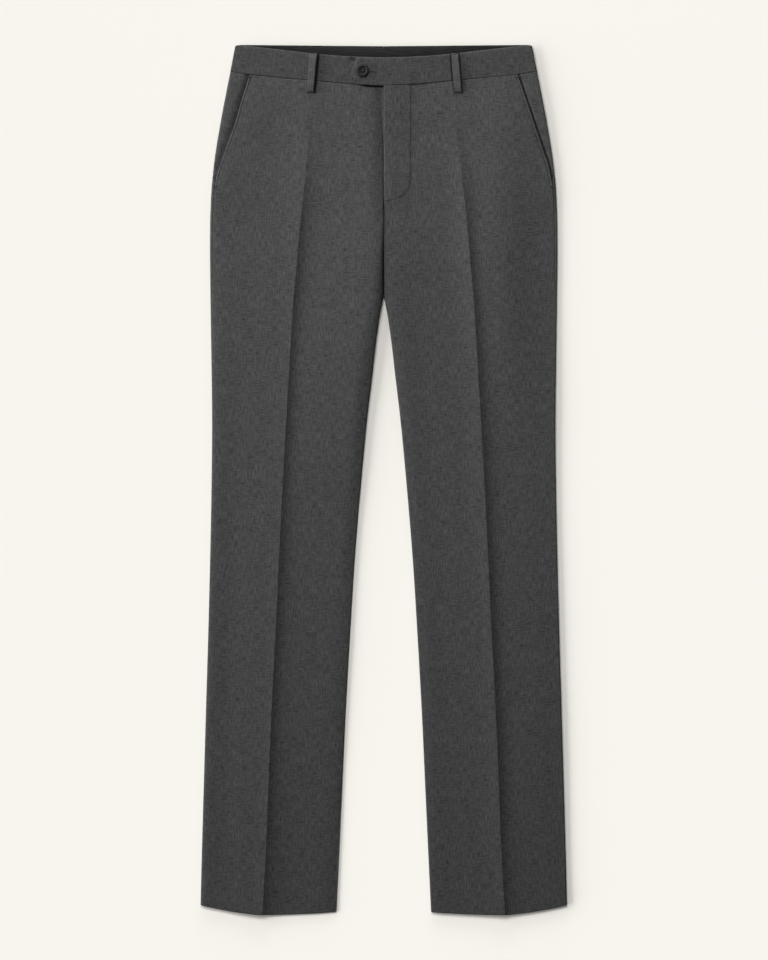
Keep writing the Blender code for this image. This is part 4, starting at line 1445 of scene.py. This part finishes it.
def buttonhole_threads():
    """Short threads square to the slit, in two rows, and a bar at the end."""
    x = np.linspace(-20.5, -9.8, 26)[:, None]
    t = np.linspace(-1, 1, 5)[None]
    slit = BUTTON_AT[1] - 0.9
    z = band_level(x, 1) + 0.14 - 0.3 * t**4
    rows = [surface(x, slit + shift + 0.5 * t, z) for shift in (-0.55, 0.55)]
    end = bar((-9.5, slit), (0.0, 1.0), 2.4, 0.9, 6, lambda x, y: band_level(x, 1) - 0.12)
    return np.concatenate((*rows, end))


def loop_bars():
    """Bar tacks across the folded foot and the head of both front loops."""
    tacks = []
    for side in SIDES.values():
        grid = front_loop_grid(side)
        for y in (504.0, 551.8):
            top = grid[np.abs(grid[:, 0, 1] - y).argmin(), 20, 2] - 0.28
            middle = loop_middle(y, side), y
            tacks.append(bar(middle, (1.0, 0.0), 9.0, 1.3, 16, lambda x, y: top + 0 * x, side))
    return np.concatenate(tacks)


button_thread = threads("button_thread", button_cross(), 0.24, button_cord, 8)
buttonhole = threads("buttonhole_stitching", buttonhole_threads(), 0.28, stitch_thread)
loop_stitching = threads("loop_stitching", loop_bars(), 0.2, stitch_thread)

# %% [markdown]
# ## Telling the frame about each piece
# Every piece rides on the one body and stands for its CAD node, which is hidden.

# %% Pieces
def show(piece, node=None):
    """It rides on the body, in place of its node, which is hidden."""
    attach(piece, "root")
    if node:
        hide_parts(node)


for name, side in SIDES.items():
    show(fronts[name], f"front_{name}")
    show(backs[name], f"back_{name}")
    show(facings[name], f"pocket_facing_{name}")
    show(bands[name], f"waistband_{name}")
    show(band_facings[name], f"band_facing_{name}")
    show(front_loops[name], f"belt_loop_front_{name}")
    show(pocket_stitching[name])
    sewn_on = [pocket_stitching[name]] + ([fly_stitching] if side > 0 else [])
for name, loop in back_loops.items():
    show(loop, f"belt_loop_back_{name}")
show(underlap, "fly_underlap")
show(zipper, "fly_zip")
show(waist_button, "waist_button")
for piece in (fly_stitching, button_thread, buttonhole, loop_stitching):
    show(piece)

# %% [markdown]
# ## The table
# A pale card fills the view. A real studio lights its table evenly, which three lamps can't quite
# do, so the card's own tone makes up for their fall. Far out it fades into the pale room, so that
# no edge of it shows from the side.

# %% Table
TABLE_HALF, TABLE_DROP = 6000.0, 0.3  # half the card's side, and how far it lies below z = 0
PALE = (0.9, 0.88, 0.82)
LIT = 0.9  # the lamps' reach from the middle, in metres; the card fades over a metre beyond it
# The card's tone in the middle, and what it gains along y, y * y and y * y * y, and along x,
# x * x and x * y, in metres.
TONE, TONE_Y, TONE_X = 0.594, (-0.271, 0.058, 0.011), (0.133, 0.095, -0.036)


def table_finish():
    """Pale matt card: a tone that is a sum of powers of x and y, and a fade to self-lit pale."""
    card = Finish("table_card")
    place = card.object_place()
    x, y = [axis.math("MAXIMUM", -LIT).math("MINIMUM", LIT) for axis in card.x_and_y(place)]
    tone = TONE + y * (TONE_Y[0] + y * (TONE_Y[1] + y * TONE_Y[2]))
    tone = tone + x * (TONE_X[0] + x * TONE_X[1] + y * TONE_X[2])
    away = card.node("ShaderNodeVectorMath", {"operation": "LENGTH"}, {0: place}, 1)
    far = (away - LIT).math("MAXIMUM", 0.0).math("MINIMUM", 1.0)
    return card.set(
        Base_Color=card.blend(tone * (1 - far), (0.0, 0.0, 0.0), (1.0, 0.973, 0.911)),
        Emission_Color=card.blend(far, (0.0, 0.0, 0.0), PALE),
        Emission_Strength=1.0,
        Roughness=0.9,
        Specular_IOR_Level=0.0,
    )


square = np.array(((-1, -1), (1, -1), (1, 1), (-1, 1))) * TABLE_HALF
table_points = surface(square[:, 0], square[:, 1], -TABLE_DROP)
table = add_mesh("table", table_points, [(0, 1, 2, 3)], table_finish())
print("table", 2 * TABLE_HALF * MM, "m wide")

# %% [markdown]
# ## The light
# The light is a studio's: a broad soft lamp low at the left, which makes the crease's flanks
# differ, a second one beyond the waist, a small one over it, and a little light from all round.
# Where the camera sees past the table, it sees the pale room.

# %% Light
def lamp(name, energy, place, aim, width, height):
    """A soft rectangular lamp at a place, turned to its aim."""
    data = bpy.data.lights.new(name, "AREA")
    data.energy, data.shape = energy, "RECTANGLE"
    data.size, data.size_y = width, height
    made = link(bpy.data.objects.new(name, data))
    made.location = place
    direction = Vector(aim) - Vector(place)
    made.rotation_euler = direction.to_track_quat("-Z", "Y").to_euler()
    made.visible_camera = False


def room(strength):
    """White light from all round for the cloth, and the pale room for the camera."""
    world = bpy.data.worlds.new("studio")
    sky = Nodes(world)
    sky.all.remove(sky.all["Background"])
    white = {"Color": (1.0, 1.0, 1.0, 1.0), "Strength": strength}
    dim = sky.node("ShaderNodeBackground", {}, white)
    pale = sky.node("ShaderNodeBackground", {}, {"Color": (*PALE, 1.0)})
    seen = sky.node("ShaderNodeLightPath", {}, {})
    choice = sky.node("ShaderNodeMixShader", {}, {0: seen, 1: dim, 2: pale})
    sky.feed(sky.all["World Output"].inputs["Surface"], choice)
    return world


lamp("side_lamp", 2448.0, (-8.8, 0.3, 2.48), (0.0, 0.3, 2.48), 14.4, 4.96)
lamp("head_lamp", 64.0, (-0.2, 2.2, 0.4), (-0.2, 0.0, 0.4), 2.4, 0.8)
lamp("over_lamp", 63.0, (-0.5, 1.2, 2.0), (-0.1, 0.5, 0.0), 1.6, 1.2)
bpy.context.scene.world = room(0.06)
bpy.context.scene.view_settings.view_transform = "Standard"
print(len(bpy.data.lights), "lamps")

# %% [markdown]
# ## The camera
# It looks straight down through a long lens, so that the legs' edges hardly lean. Its height is
# worked out from how much of the table the view should take in from top to bottom.

# %% Camera
VIEW_HEIGHT, LENS, SENSOR = 1.248, 100.0, 36.0
camera = bpy.data.cameras.new("camera")
camera.lens, camera.sensor_width = LENS, SENSOR
camera.clip_end = 50.0
viewer = link(bpy.data.objects.new("camera", camera))
viewer.location = (0.0004, 0.0, VIEW_HEIGHT * LENS / SENSOR)
bpy.context.scene.camera = viewer
print("camera", round(viewer.location.z, 3), "m over the table")
